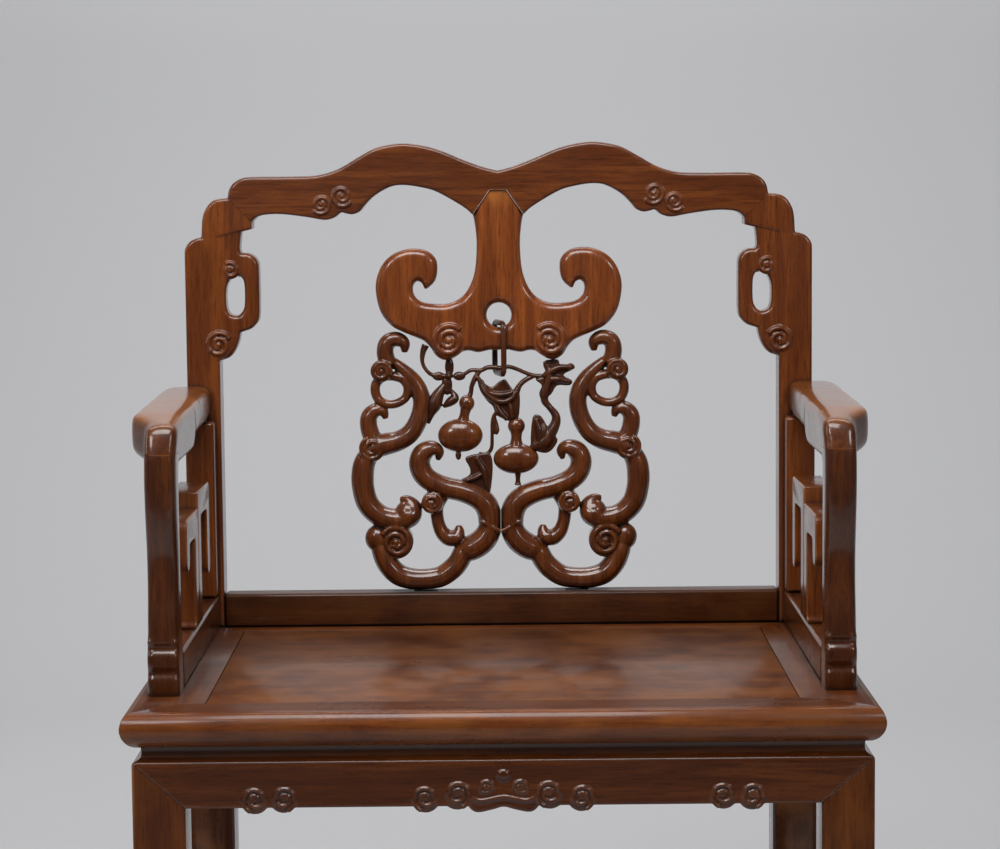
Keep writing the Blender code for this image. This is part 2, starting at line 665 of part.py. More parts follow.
def halve(item, point, normal):
    """Cuts a piece with a plane and throws away the side that the normal points to."""
    shape = bmesh.new()
    shape.from_mesh(item.data)
    parts = shape.verts[:] + shape.edges[:] + shape.faces[:]
    found = bmesh.ops.bisect_plane(shape, geom=parts, dist=FIT_GAP / 100, plane_co=point,
                                   plane_no=normal, clear_outer=True)
    edges = [part for part in found["geom_cut"] if isinstance(part, bmesh.types.BMEdge)]
    bmesh.ops.holes_fill(shape, edges=edges)
    bmesh.ops.recalc_face_normals(shape, faces=shape.faces)
    shape.to_mesh(item.data)
    shape.free()
    return item


# Seat frame

def seat_rail_profile(width):
    """Section of a seat rail: distance inwards from the outer face, and height."""
    top = SEAT_HEIGHT
    bottom = FRAME_BOTTOM
    tongue_top = top - PANEL_THICK + PANEL_TONGUE_THICK
    tongue_bottom = top - PANEL_THICK
    groove = width - PANEL_TONGUE_LENGTH - FIT_GAP
    nose = [(across * SEAT_UNDER_SET, bottom + up * SEAT_FRAME_THICK)
            for across, up in SEAT_UNDER_SHARES]
    nose += [(across * SEAT_NOSE_SET, bottom + up * SEAT_FRAME_THICK)
             for across, up in SEAT_NOSE_SHARES]
    return nose + [
        (width, top), (width, tongue_top + FIT_GAP), (groove, tongue_top + FIT_GAP),
        (groove, tongue_bottom - FIT_GAP), (width, tongue_bottom - FIT_GAP), (width, bottom),
    ]


def long_seat_rail(end, material):
    """Front or back rail, mitred at both ends, with a tenon at each mitre."""
    width = SEAT_FRONT_RAIL_WIDTH if end == FRONT else SEAT_RAIL_WIDTH
    face = end * SEAT_REAR
    outline = [(face - end * inwards, height) for inwards, height in seat_rail_profile(width)]
    name = "seat_rail_" + END_NAMES[end]
    rail = board(name, [outline], SEAT_WIDTH, facing_side(0))
    for side in (LEFT, RIGHT):
        corner = (side * SEAT_HALF, face, SEAT_HEIGHT)
        halve(rail, corner, (side, -end, 0))
    for side in (LEFT, RIGHT):
        join(rail, mitre_tenon(side, end, width, 0.0))
    return finish(rail, material)


def mitre_tenon(side, end, width, play):
    """Tenon of a long seat rail, or with some play the mortise that takes it."""
    top = SEAT_HEIGHT - MITRE_TENON_DROP
    reach = SEAT_HALF - width + MITRE_TENON_LENGTH
    start = SEAT_HALF - width - MITRE_TENON_WIDTH
    low_x, high_x = sided(side, start, reach + play)
    inner = end * (SEAT_REAR - width + MITRE_TENON_SETBACK)
    outer = inner + end * MITRE_TENON_WIDTH
    low_y, high_y = sorted((inner - end * play, outer + end * play))
    return box("mitre_tenon", (low_x, low_y, top - MITRE_TENON_THICK - play), (high_x, high_y, top + play))


def rail_footprint(end, gap):
    """Plan of a long rail with its mitres, enlarged by a gap."""
    width = SEAT_FRONT_RAIL_WIDTH if end == FRONT else SEAT_RAIL_WIDTH
    spread = gap * math.sqrt(2)
    outer = end * (SEAT_REAR + CUT_OVERRUN)
    inner = end * (SEAT_REAR - width - gap)
    outer_half = SEAT_HALF + CUT_OVERRUN + spread
    inner_half = SEAT_HALF - width - gap + spread
    return [(-outer_half, outer), (outer_half, outer), (inner_half, inner), (-inner_half, inner)]


def short_seat_rail(side, material):
    """Side rail, which takes the mitres and tenons of the front and back rails."""
    profile = seat_rail_profile(SEAT_RAIL_WIDTH)
    outline = [(side * (SEAT_HALF - inwards), height) for inwards, height in profile]
    rail = board("seat_rail_" + SIDE_NAMES[side], [outline], SEAT_DEPTH, facing_front(0))
    height = SEAT_FRAME_THICK + 2 * CUT_OVERRUN
    level = (SEAT_HEIGHT + FRAME_BOTTOM) / 2
    for end in (FRONT, REAR):
        width = SEAT_FRONT_RAIL_WIDTH if end == FRONT else SEAT_RAIL_WIDTH
        cut(rail, board("mitre_cutter", [rail_footprint(end, FIT_GAP)], height, facing_up(level)))
        cut(rail, mitre_tenon(side, end, width, TENON_GAP))
    return finish(rail, material)


def square_tenon(x, y, low_z, high_z, play):
    """Upright square tenon, or the mortise for it."""
    half = CORNER_TENON_SIZE / 2 + play
    return box("square_tenon", (x - half, y - half, low_z), (x + half, y + half, high_z))


def leg_tenon(side, end, low_z, play):
    """Tenon on the core of a leg, behind its aprons."""
    x = side * (LEG_OUTER_X - (LEG_SIZE + APRON_THICK) / 2)
    y = end * (LEG_OUTER_Y - (LEG_SIZE + APRON_THICK) / 2)
    return square_tenon(x, y, low_z, FRAME_BOTTOM + CORNER_TENON_LENGTH + play, play)


def post_tenon(side, high_z, play):
    """Tenon at the foot of a back post."""
    x = side * (POST_OUTER + POST_INNER) / 2
    y = (POST_FRONT + POST_REAR) / 2
    return square_tenon(x, y, SEAT_HEIGHT - CORNER_TENON_LENGTH - play, high_z, play)


def cut_corner_mortises(rail):
    """Mortises under the seat frame for the legs, and on top of it for the back posts."""
    for side in (LEFT, RIGHT):
        for end in (FRONT, REAR):
            cut(rail, leg_tenon(side, end, FRAME_BOTTOM - CUT_OVERRUN, TENON_GAP))
        cut(rail, post_tenon(side, SEAT_HEIGHT + CUT_OVERRUN, TENON_GAP))
        cut(rail, stump_tenon(side, TENON_GAP))


def stump_tenon(side, play):
    """Tenon at the foot of an arm stump, or the mortise for it."""
    half = STUMP_TENON_SIZE / 2 + play
    x = side * (SIDE_OUTER + SIDE_INNER) / 2
    y = (STUMP_FRONT + STUMP_REAR) / 2
    floor = SEAT_HEIGHT - CORNER_TENON_LENGTH - play
    top = SEATED + CUT_OVERRUN
    return box("stump_tenon", (x - half, y - half, floor), (x + half, y + half, top))


def seat_opening(gap):
    """Plan of the space between the rails, made smaller by a gap."""
    x = SEAT_HALF - SEAT_RAIL_WIDTH - gap
    front = SEAT_FRONT + SEAT_FRONT_RAIL_WIDTH + gap
    rear = SEAT_REAR - SEAT_RAIL_WIDTH - gap
    return x, front, rear


def seat_panel(material):
    """Floating panel with a tongue all round, held in the grooves of the frame."""
    x, front, rear = seat_opening(FIT_GAP)
    bottom = SEAT_HEIGHT - PANEL_THICK
    panel = box("seat_panel", (-x, front, bottom), (x, rear, SEAT_HEIGHT))
    reach = PANEL_TONGUE_LENGTH
    tongue = box("tongue", (-x - reach, front - reach, bottom),
                 (x + reach, rear + reach, bottom + PANEL_TONGUE_THICK))
    return finish(join(panel, tongue), material)


def batten_shape(side, play):
    """Cross batten under the panel, its ends let into the front and back rails."""
    x, front, rear = seat_opening(0.0)
    middle = side * BATTEN_SPACING / 2
    half = BATTEN_WIDTH / 2 + play
    top = SEAT_HEIGHT - PANEL_THICK - FIT_GAP + play
    reach = BATTEN_TENON_LENGTH + play
    bottom = top - BATTEN_DEPTH - play - play
    if play:
        bottom -= CUT_OVERRUN
    return box("seat_batten_" + SIDE_NAMES[side], (middle - half, front - reach, bottom),
               (middle + half, rear + reach, top))


def build_seat(material, hidden_material):
    """Frame, panel and battens."""
    long_rails = [long_seat_rail(end, material) for end in (FRONT, REAR)]
    short_rails = [short_seat_rail(side, material) for side in (LEFT, RIGHT)]
    for rail in long_rails:
        for side in (LEFT, RIGHT):
            cut(rail, batten_shape(side, FIT_GAP))
    for rail in long_rails + short_rails:
        cut_corner_mortises(rail)
    seat_panel(material)
    for side in (LEFT, RIGHT):
        finish(soften(batten_shape(side, 0.0)), hidden_material)


# Legs and aprons

def leg_mitre(side, end, along_x, gap):
    """A point on the slanting shoulder between leg and apron, and the direction up across it."""
    slope = APRON_SHOULDER_HEIGHT / LEG_SIZE
    lift = APRON_BOTTOM + gap
    if along_x:
        point = (side * (LEG_OUTER_X - LEG_SIZE), 0.0, lift)
        normal = (-side * slope, 0.0, 1.0)
    else:
        point = (0.0, end * (LEG_OUTER_Y - LEG_SIZE), lift)
        normal = (0.0, -end * slope, 1.0)
    return Vector(point), Vector(normal)


def leg(side, end, material):
    """Square leg with an inward hoof, slanting shoulders for the aprons and a core with its tenon."""
    shape = bmesh.new()
    levels = [(share * HOOF_HEIGHT, swell * HOOF_REACH) for share, swell in HOOF_SHARES]
    levels.append((APRON_BOTTOM + APRON_SHOULDER_HEIGHT + CUT_OVERRUN, 0.0))
    rings = []
    for height, swell in levels:
        outer_x = side * LEG_OUTER_X
        outer_y = end * LEG_OUTER_Y
        inner_x = side * (LEG_OUTER_X - LEG_SIZE - swell)
        inner_y = end * (LEG_OUTER_Y - LEG_SIZE - swell)
        corners = [(outer_x, outer_y), (inner_x, outer_y), (inner_x, inner_y), (outer_x, inner_y)]
        rings.append([shape.verts.new((x, y, height)) for x, y in corners])
    for ring, following in zip(rings, rings[1:]):
        for corner in range(4):
            other = (corner + 1) % 4
            shape.faces.new((ring[corner], ring[other], following[other], following[corner]))
    shape.faces.new(rings[0])
    shape.faces.new(rings[-1])
    bmesh.ops.recalc_face_normals(shape, faces=shape.faces)
    item = mesh_object("leg_" + END_NAMES[end] + "_" + SIDE_NAMES[side], shape)
    soften(item, LEG_EDGE)
    for along_x in (True, False):
        point, normal = leg_mitre(side, end, along_x, -FIT_GAP)
        halve(item, point, normal)
    core_outer_x = LEG_OUTER_X - APRON_THICK - FIT_GAP
    core_outer_y = LEG_OUTER_Y - APRON_THICK - FIT_GAP
    low_x, high_x = sided(side, LEG_OUTER_X - LEG_SIZE + FIT_GAP, core_outer_x)
    low_y, high_y = sided(end, LEG_OUTER_Y - LEG_SIZE + FIT_GAP, core_outer_y)
    core = box("core", (low_x, low_y, APRON_BOTTOM - LEG_CORE_LENGTH),
               (high_x, high_y, APRON_TOP))
    join(item, core, leg_tenon(side, end, APRON_BOTTOM, 0.0))
    for mortise in stretcher_mortises(side, end):
        cut(item, mortise)
    return finish(item, material)


def apron_profile(outer):
    """Section of an apron with its waist: distance from the chair's middle, and height."""
    face_top = APRON_TOP - WAIST_HEIGHT
    back = outer - APRON_THICK
    hollow = [(outer - across * WAIST_SET, face_top + up * WAIST_SET) for across, up in WAIST_SHARES]
    return [(outer, APRON_BOTTOM), *hollow, (outer - WAIST_SET, APRON_TOP), (back, APRON_TOP),
            (back, APRON_BOTTOM)]


def apron(direction, across, material, clouds=False):
    """Apron and waist from one piece, mitred to its neighbours and onto the legs' shoulders."""
    outer = LEG_OUTER_Y if across else LEG_OUTER_X
    length = 2 * (LEG_OUTER_X if across else LEG_OUTER_Y)
    outline = [(direction * distance, height) for distance, height in apron_profile(outer)]
    if across:
        name = "apron_" + END_NAMES[direction]
        item = board(name, [outline], length, facing_side(0))
    else:
        name = "apron_" + SIDE_NAMES[direction]
        item = board(name, [outline], length, facing_front(0))
    if clouds:
        for cloud in cloud_bosses():
            join(item, cloud)
    for end in (-1, 1):
        if across:
            corner = (end * (LEG_OUTER_X - FIT_GAP), direction * LEG_OUTER_Y, 0.0)
            halve(item, corner, (end, -direction, 0.0))
            point, normal = leg_mitre(end, direction, True, 0.0)
        else:
            corner = (direction * LEG_OUTER_X, end * (LEG_OUTER_Y - FIT_GAP), 0.0)
            halve(item, corner, (-direction, end, 0.0))
            point, normal = leg_mitre(direction, end, False, 0.0)
        halve(item, point, -normal)
    return finish(item, material)


def cloud_bosses():
    """Paired rounds of the cloud carving and the crest between them, standing on the front apron."""
    front = -LEG_OUTER_Y - CLOUD_RELIEF
    back = -LEG_OUTER_Y + APRON_THICK / 2
    centre_z = APRON_BOTTOM + CLOUD_RISE
    bosses = []
    for side in (LEFT, RIGHT):
        for offset in (CLOUD_INNER_OFFSET, CLOUD_OUTER_OFFSET):
            for step in (-1, 1):
                x = side * (offset + step * CLOUD_PAIR_SPACING / 2)
                bosses.append(disc("cloud", x, centre_z, CLOUD_RADIUS, front, back))
    right = []
    for across, up in CLOUD_CREST_SHARES:
        rise = CLOUD_CREST_RISE if up > 0 else CLOUD_CREST_DROP
        right.append((across * CLOUD_CREST_WIDTH / 2, APRON_BOTTOM + up * rise))
    crest = smooth_line(right + mirrored(right[1:-1]), CARVING_STEPS, closed=True)
    bosses.append(board("cloud_crest", [crest], back - front, facing_front((front + back) / 2)))
    return bosses


def stretcher_box(name, direction, across, reach, thick, height):
    """A bar between two legs at stretcher level, with its ends at the given reach into them."""
    middle_z = STRETCHER_TOP - STRETCHER_HEIGHT / 2
    if across:
        middle = direction * (LEG_OUTER_Y - STRETCHER_INSET - STRETCHER_THICK / 2)
        half = LEG_OUTER_X - LEG_SIZE + reach
        return box(name, (-half, middle - thick / 2, middle_z - height / 2),
                   (half, middle + thick / 2, middle_z + height / 2))
    middle = direction * (LEG_OUTER_X - STRETCHER_INSET - STRETCHER_THICK / 2)
    half = LEG_OUTER_Y - LEG_SIZE + reach
    return box(name, (middle - thick / 2, -half, middle_z - height / 2),
               (middle + thick / 2, half, middle_z + height / 2))


def stretcher_reach(across):
    """Length of a stretcher's tenon. The side ones are shorter, to clear the others."""
    return STRETCHER_TENON_LENGTH if across else SHORT_STRETCHER_TENON_LENGTH


def stretcher_mortises(side, end):
    """Cutters for the two stretchers that meet in a leg."""
    cutters = []
    for direction, across in ((end, True), (side, False)):
        reach = stretcher_reach(across) + TENON_GAP
        cutters.append(stretcher_box("mortise", direction, across, reach,
                                     STRETCHER_TENON_THICK + 2 * TENON_GAP,
                                     STRETCHER_TENON_HEIGHT + 2 * TENON_GAP))
    return cutters


def stretcher(direction, across, material):
    """Low rail between two legs, tenoned into both."""
    names = END_NAMES if across else SIDE_NAMES
    bar = stretcher_box("stretcher_" + names[direction], direction, across, -FIT_GAP,
                        STRETCHER_THICK, STRETCHER_HEIGHT)
    soften(bar)
    join(bar, stretcher_box("tenon", direction, across, stretcher_reach(across),
                            STRETCHER_TENON_THICK, STRETCHER_TENON_HEIGHT))
    return finish(bar, material)


def build_base(material):
    """Legs, aprons and stretchers."""
    for end in (FRONT, REAR):
        for side in (LEFT, RIGHT):
            leg(side, end, material)
        apron(end, True, material, clouds=(end == FRONT))
        stretcher(end, True, material)
    for side in (LEFT, RIGHT):
        apron(side, False, material)
        stretcher(side, False, material)


# Back frame

def crest_point(shares):
    return shares[0] * POST_OUTER, CREST_BASE + shares[1] * CREST_FALL


def crest_stem_points(gap):
    """The stem's point in the crest: its left foot, tip and right foot, spread by a gap."""
    foot_x, foot_z = crest_point(CREST_UNDER_SHARES[-1])
    tip_x = HEAD_TIP_SHARE[0] * SPLAT_HALF_WIDTH
    tip_z = RAIL_TOP + HEAD_TIP_SHARE[1] * BACK_RISE
    return [(-foot_x - gap, foot_z), (-tip_x - gap, tip_z + gap), (tip_x + gap, tip_z + gap),
            (foot_x + gap, foot_z)]


def crest_rail(material):
    """Waved top rail with two humps, mitred to the posts and notched for the splat's stem."""
    top = [crest_point(shares) for shares in CREST_TOP_SHARES]
    under = [crest_point(shares) for shares in CREST_UNDER_SHARES[:-1]]
    right = top + under
    left = [(-x, z) for x, z in reversed(right[1:])]
    outline = right + crest_stem_points(FIT_GAP)[::-1] + left
    middle = (POST_FRONT + POST_REAR) / 2
    rail = board("crest_rail", [outline], POST_DEPTH, facing_front(middle), SOFT_EDGE)
    for side in (LEFT, RIGHT):
        for share in CREST_VOLUTE_SHARES:
            x, z = crest_point(share)
            boss = disc("volute", side * x, z, CREST_VOLUTE_RADIUS, POST_FRONT - VOLUTE_RELIEF, middle)
            join(rail, boss)
        cut(rail, crest_tenon(side, TENON_GAP))
    cut(rail, stem_tenon(TENON_GAP))
    return finish(rail, material)


def mitre_ends():
    """Outer and inner ends of the mitre between crest and post, on the right."""
    return crest_point(CREST_TOP_SHARES[-1]), crest_point(CREST_UNDER_SHARES[0])


def crest_tenon(side, play):
    """Upright tenon of the post in the crest's end, across their mitre."""
    outer, inner = mitre_ends()
    x = (outer[0] + inner[0]) / 2
    z = (outer[1] + inner[1]) / 2
    y = (POST_FRONT + POST_REAR) / 2
    half = CREST_TENON_THICK / 2 + play
    low_x, high_x = sided(side, x - half, x + half)
    return box("crest_tenon", (low_x, y - half, z - CREST_TENON_LENGTH),
               (high_x, y + half, z + CREST_TENON_LENGTH + play))


def stem_tenon(play):
    """Tenon on the splat's stem, up into the crest."""
    half = STEM_TAB_WIDTH / 2 + play
    thick = SPLAT_TAB_THICK / 2 + play
    tip = RAIL_TOP + HEAD_TIP_SHARE[1] * BACK_RISE
    low = tip - SPLAT_TAB_WIDTH
    return box("stem_tenon", (-half, SPLAT_MIDDLE - thick, low),
               (half, SPLAT_MIDDLE + thick, tip + SPLAT_TAB_LENGTH + play))


def bracket_place(side, inner_end, shares):
    """World x and z of a share on the bracket, which ends clear of the arm rest."""
    height = (inner_end[1] - ARM_TOP - BRACKET_CLEARANCE) / BRACKET_SHARES[-1][1]
    return side * (POST_INNER - shares[0] * BRACKET_WIDTH), inner_end[1] - shares[1] * height


def back_post(side, material):
    """Post with its stepped shoulder, mitred head, pierced bracket and foot tenon."""
    outer_end, inner_end = mitre_ends()
    foot = outer_end[1] - SHOULDER_HEIGHT * SHOULDER_SHARES[-1][1]
    width = POST_OUTER - outer_end[0]
    shoulder = [(POST_OUTER - across * width, foot + up * SHOULDER_HEIGHT)
                for across, up in SHOULDER_SHARES]
    drop = FIT_GAP * math.sqrt(2)
    inner = (inner_end[0], inner_end[1] - drop)
    shoulder[-1] = (outer_end[0], outer_end[1] - drop)
    bracket = [bracket_place(RIGHT, inner, shares) for shares in BRACKET_SHARES]
    outline = [(POST_OUTER, SEATED)] + shoulder + [inner, (inner[0], bracket[0][1])]
    outline += [(POST_INNER, bracket[0][1] - BRACKET_FOOT), (POST_INNER, SEATED)]
    middle = (POST_FRONT + POST_REAR) / 2
    if side == LEFT:
        outline = mirrored(outline)
    post = board("back_post_" + SIDE_NAMES[side], [outline], POST_DEPTH, facing_front(middle), SOFT_EDGE)
    plate = [(POST_INNER + BRACKET_ROOT, bracket[0][1]), *bracket,
             (POST_INNER + BRACKET_ROOT, bracket[-1][1])]
    slot = [bracket_place(RIGHT, inner, shares) for shares in BRACKET_SLOT_SHARES]
    shapes = [plate, slot] if side == RIGHT else [mirrored(plate), mirrored(slot)]
    plate_middle = POST_FRONT + BRACKET_SET + BRACKET_THICK / 2
    join(post, board("bracket", shapes, BRACKET_THICK, facing_front(plate_middle), SOFT_EDGE))
    x, z = bracket_place(side, inner, BRACKET_VOLUTE_SHARE)
    join(post, disc("volute", x, z, BRACKET_VOLUTE_RADIUS, POST_FRONT - VOLUTE_RELIEF, plate_middle))
    join(post, crest_tenon(side, 0.0))
    join(post, post_tenon(side, RAIL_TOP, 0.0))
    cut(post, back_rail_tenon(side, TENON_GAP), base_rail_tenon(side, True, TENON_GAP),
        arm_tenon(side, TENON_GAP))
    return finish(post, material)


def back_rail_tenon(side, play):
    """Tenon of the low back rail in a post."""
    low_x, high_x = sided(side, POST_INNER - BACK_RAIL_TENON_LENGTH,
                          POST_INNER + BACK_RAIL_TENON_LENGTH + play)
    half = BACK_RAIL_TENON_THICK / 2 + play
    y = POST_FRONT + BACK_RAIL_THICK / 2
    z = SEATED + BACK_RAIL_HEIGHT / 2
    tall = BACK_RAIL_TENON_HEIGHT / 2 + play
    return box("rail_tenon", (low_x, y - half, z - tall), (high_x, y + half, z + tall))


def scroll_tenon(side, play):
    """Stub at the bottom of a carved scroll, let into the low back rail."""
    x = side * LOWER_C_SHARES[4][0] * SPLAT_HALF_WIDTH
    half = SPLAT_TAB_WIDTH / 2 + play
    thick = SPLAT_TAB_THICK / 2 + play
    return box("scroll_tenon", (x - half, SPLAT_MIDDLE - thick, RAIL_TOP - SPLAT_TAB_LENGTH - play),
               (x + half, SPLAT_MIDDLE + thick, RAIL_TOP + SPLAT_TAB_LENGTH))


def back_rail(material):
    """Low rail on the seat between the posts, which the splat stands on."""
    rail = box("back_rail", (-POST_INNER + FIT_GAP, POST_FRONT, SEATED),
               (POST_INNER - FIT_GAP, POST_FRONT + BACK_RAIL_THICK, RAIL_TOP))
    soften(rail)
    for side in (LEFT, RIGHT):
        join(rail, back_rail_tenon(side, 0.0))
        cut(rail, scroll_tenon(side, TENON_GAP))
    return finish(rail, material)


# Splat

def splat_place(shares, side=RIGHT):
    """World x and z, and the half width where there is one, of a share on the splat."""
    place = (side * shares[0] * SPLAT_HALF_WIDTH, RAIL_TOP + shares[1] * BACK_RISE)
    return place + tuple(share * SPLAT_HALF_WIDTH for share in shares[2:3])


def splat_head(material):
    """Stem and cloud-shaped head with two curled hooks, from one board."""
    right = [splat_place(shares) for shares in HEAD_SHARES]
    feet = crest_stem_points(0.0)
    outline = feet[1:3] + [(feet[3][0], feet[3][1] - FIT_GAP)] + right[1:]
    outline += mirrored(right[1:]) + [(feet[0][0], feet[0][1] - FIT_GAP)]
    centre_z = RAIL_TOP + HEAD_HOLE_SHARE * BACK_RISE
    hole = round_corner((0.0, centre_z), HEAD_HOLE_RADIUS, 0, 360)[:-1]
    hole = smooth_line(hole, CARVING_STEPS, closed=True)
    head = board("splat_head", [outline, hole], SPLAT_THICK, facing_front(SPLAT_MIDDLE), SOFT_EDGE)
    for side in (LEFT, RIGHT):
        x, z, radius = splat_place(HEAD_VOLUTE_SHARE, side)
        join(head, disc("volute", x, z, radius, SPLAT_FRONT - VOLUTE_RELIEF, SPLAT_MIDDLE))
    join(head, stem_tenon(0.0))
    return finish(head, material)


def scroll_bands(side):
    """Every band of one scroll: its name and its stations in world places."""
    smoothed = {"sweep": SWEEP_SHARES, "top_hook": TOP_HOOK_SHARES, "side_hook": SIDE_HOOK_SHARES,
                "heart_leg": HEART_LEG_SHARES}
    plain = {"great_c": GREAT_C_SHARES, "lower_c": LOWER_C_SHARES, "heart": HEART_SHARES,
             "web": WEB_SHARES}
    bands = []
    for name, table in plain.items():
        bands.append((name, [splat_place(shares, side) for shares in table], False))
    for name, table in smoothed.items():
        stations = [splat_place(shares, side) for shares in table]
        bands.append((name, smooth_line(stations, CARVING_STEPS), False))
    centre_x, centre_z = splat_place(EYELET_CENTRE_SHARE, side)
    wire = EYELET_WIRE_SHARE * SPLAT_HALF_WIDTH
    eyelet = []
    for step in range(2 * ARC_STEPS):
        angle = math.pi * step / ARC_STEPS
        eyelet.append((centre_x + EYELET_RADIUS_SHARES[0] * SPLAT_HALF_WIDTH * math.cos(angle),
                       centre_z + EYELET_RADIUS_SHARES[1] * BACK_RISE * math.sin(angle), wire))
    bands.append(("eyelet", eyelet, True))
    return bands


def splat_scroll(side, head, material):
    """Carved scroll of one side: bands, volutes and its stub in the back rail."""
    name = "splat_scroll_" + SIDE_NAMES[side]
    half_depth = SPLAT_THICK / 2
    scroll = None
    for band_name, stations, closed in scroll_bands(side):
        band = carved_band(band_name, stations, half_depth, SPLAT_MIDDLE, closed)
        if scroll is None:
            scroll = band
            scroll.name = name
        else:
            join(scroll, band)
    for share in VOLUTE_SHARES:
        x, z, radius = splat_place(share, side)
        join(scroll, disc("volute", x, z, radius, SPLAT_FRONT - VOLUTE_RELIEF,
                          SPLAT_MIDDLE + VOLUTE_BED))
    x, z, radius = splat_place(SIDE_LOBE_SHARE, side)
    join(scroll, disc("lobe", x, z, radius, SPLAT_FRONT, SPLAT_MIDDLE + LOBE_BED))
    middle = side * FIT_GAP / 2
    halve(scroll, (middle, 0, 0), (-side, 0, 0))
    halve(scroll, (0, 0, RAIL_TOP + FIT_GAP), (0, 0, -1))
    join(scroll, scroll_tenon(side, 0.0))
    cut(scroll, padded_copy(head, FIT_GAP))
    return finish(scroll, material)


def padded_copy(item, padding):
    """A copy of a piece grown by a clearance, to cut its seat in a neighbour."""
    copy = item.copy()
    copy.data = item.data.copy()
    PARTS.objects.link(copy)
    swell = copy.modifiers.new("Clearance", "DISPLACE")
    swell.strength = padding
    swell.mid_level = 0.0
    return settle(copy)


def gourd(lower_shares, lower_size, upper_shares, upper_size, neck):
    """A two-bulbed gourd, hanging from its stalk."""
    low_x, low_z = splat_place(lower_shares)
    high_x, high_z = splat_place(upper_shares)
    low_half, low_tall = (share * SPLAT_HALF_WIDTH for share in lower_size)
    high_half, high_tall = (share * SPLAT_HALF_WIDTH for share in upper_size)
    neck_half = neck * SPLAT_HALF_WIDTH
    lower = pebble("gourd", (low_x, SPLAT_MIDDLE, low_z), (low_half, GOURD_DEPTH / 2, low_tall),
                   GOURD_SIDES, GOURD_RINGS)
    upper = pebble("gourd_top", (high_x, SPLAT_MIDDLE, high_z), (high_half, high_half, high_tall))
    joint = carved_band("gourd_neck", [(low_x, low_z, neck_half), (high_x, high_z, neck_half)],
                        neck_half, SPLAT_MIDDLE)
    return join(lower, joint, upper)


def splat_vine(neighbours, material):
    """Branch with twigs, leaves, a flower and two gourds, let in between the scrolls."""
    middle = SPLAT_MIDDLE
    stations = [splat_place(shares) for shares in BRANCH_SHARES]
    vine = carved_band("splat_vine", stations, VINE_DEPTH / 2, middle, sides=VINE_SIDES)
    for table in TWIG_SHARES:
        twig = [splat_place(shares) for shares in table]
        join(vine, carved_band("twig", twig, VINE_DEPTH / 2, middle, sides=VINE_SIDES))
    for shares in GOURD_SHARES:
        join(vine, gourd(*shares))
    for table in LEAF_SHARES:
        outline = [splat_place(shares) for shares in table]
        join(vine, board("leaf", [outline], LEAF_THICK, facing_front(middle)))
    for across, up, half_wide, half_tall in PETAL_SHARES:
        x, z = splat_place((across, up))
        join(vine, pebble("petal", (x, middle, z), (half_wide * SPLAT_HALF_WIDTH, LEAF_THICK / 2,
                                                    half_tall * SPLAT_HALF_WIDTH)))
    for neighbour in neighbours:
        cut(vine, padded_copy(neighbour, FIT_GAP))
    return finish(vine, material)


def splat_link(material):
    """Long link that hangs in the head's eye and holds the branch."""
    sill = RAIL_TOP + HEAD_HOLE_SHARE * BACK_RISE - HEAD_HOLE_RADIUS
    top = sill + 2 * LINK_WIRE_RADIUS + LINK_REST_GAP
    bottom = top - LINK_LENGTH
    half = LINK_DEPTH / 2
    corner = LINK_CORNER_RADIUS
    high = top - corner - LINK_WIRE_RADIUS
    low = bottom + corner + LINK_WIRE_RADIUS
    loop = round_corner((half - corner, high), corner, 0, 90)[::2]
    loop += round_corner((corner - half, high), corner, 90, 180)[::2]
    loop += round_corner((corner - half, low), corner, 180, 270)[::2]
    loop += round_corner((half - corner, low), corner, 270, 360)[::2]
    curve = bpy.data.curves.new("splat_link", "CURVE")
    curve.dimensions = "3D"
    curve.bevel_depth = LINK_WIRE_RADIUS
    curve.bevel_resolution = 1
    spline = curve.splines.new("POLY")
    spline.points.add(len(loop) - 1)
    for point, (along, height) in zip(spline.points, loop):
        point.co = (0.0, SPLAT_MIDDLE + along, height, 1.0)
    spline.use_cyclic_u = True
    guide = bpy.data.objects.new("link_guide", curve)
    PARTS.objects.link(guide)
    mesh = evaluated_mesh(guide)
    bpy.data.objects.remove(guide, do_unlink=True)
    shape = bmesh.new()
    shape.from_mesh(mesh)
    bmesh.ops.remove_doubles(shape, verts=shape.verts, dist=FIT_GAP / 10)
    bmesh.ops.rotate(shape, verts=shape.verts, cent=(0.0, SPLAT_MIDDLE, 0.0),
                     matrix=Matrix.Rotation(math.radians(LINK_TURN), 3, "Z"))
    bmesh.ops.recalc_face_normals(shape, faces=shape.faces)
    return finish(mesh_object("splat_link", shape), material)


def build_back(material, splat_material, vine_material):
    """Posts, rails and the splat's pieces."""
    crest_rail(material)
    for side in (LEFT, RIGHT):
        back_post(side, material)
    back_rail(material)
    head = splat_head(splat_material)
    scrolls = [splat_scroll(side, head, splat_material) for side in (LEFT, RIGHT)]
    link = splat_link(vine_material)
    splat_vine([*scrolls, head, link], vine_material)


# Arms

def arm_plan(side):
    """Plan of an arm rest, with its outer front corner cut back slantwise to the stump."""
    rear = POST_FRONT - FIT_GAP
    outer = SIDE_OUTER + ARM_REAR_OVERHANG
    radius = ARM_REAR_CORNER_RADIUS
    outline = [(SIDE_INNER + ARM_REAR_INNER_SET, rear), (SIDE_INNER - ARM_FRONT_INNER_SET, ARM_FRONT),
               (SIDE_OUTER - ARM_EAR_INSET, ARM_FRONT), (SIDE_OUTER + ARM_FRONT_OVERHANG, EAR_FRONT)]
    outline += round_corner((outer - radius, rear - radius), radius, 0, 90)[::2]
    return outline if side == RIGHT else mirrored(outline)


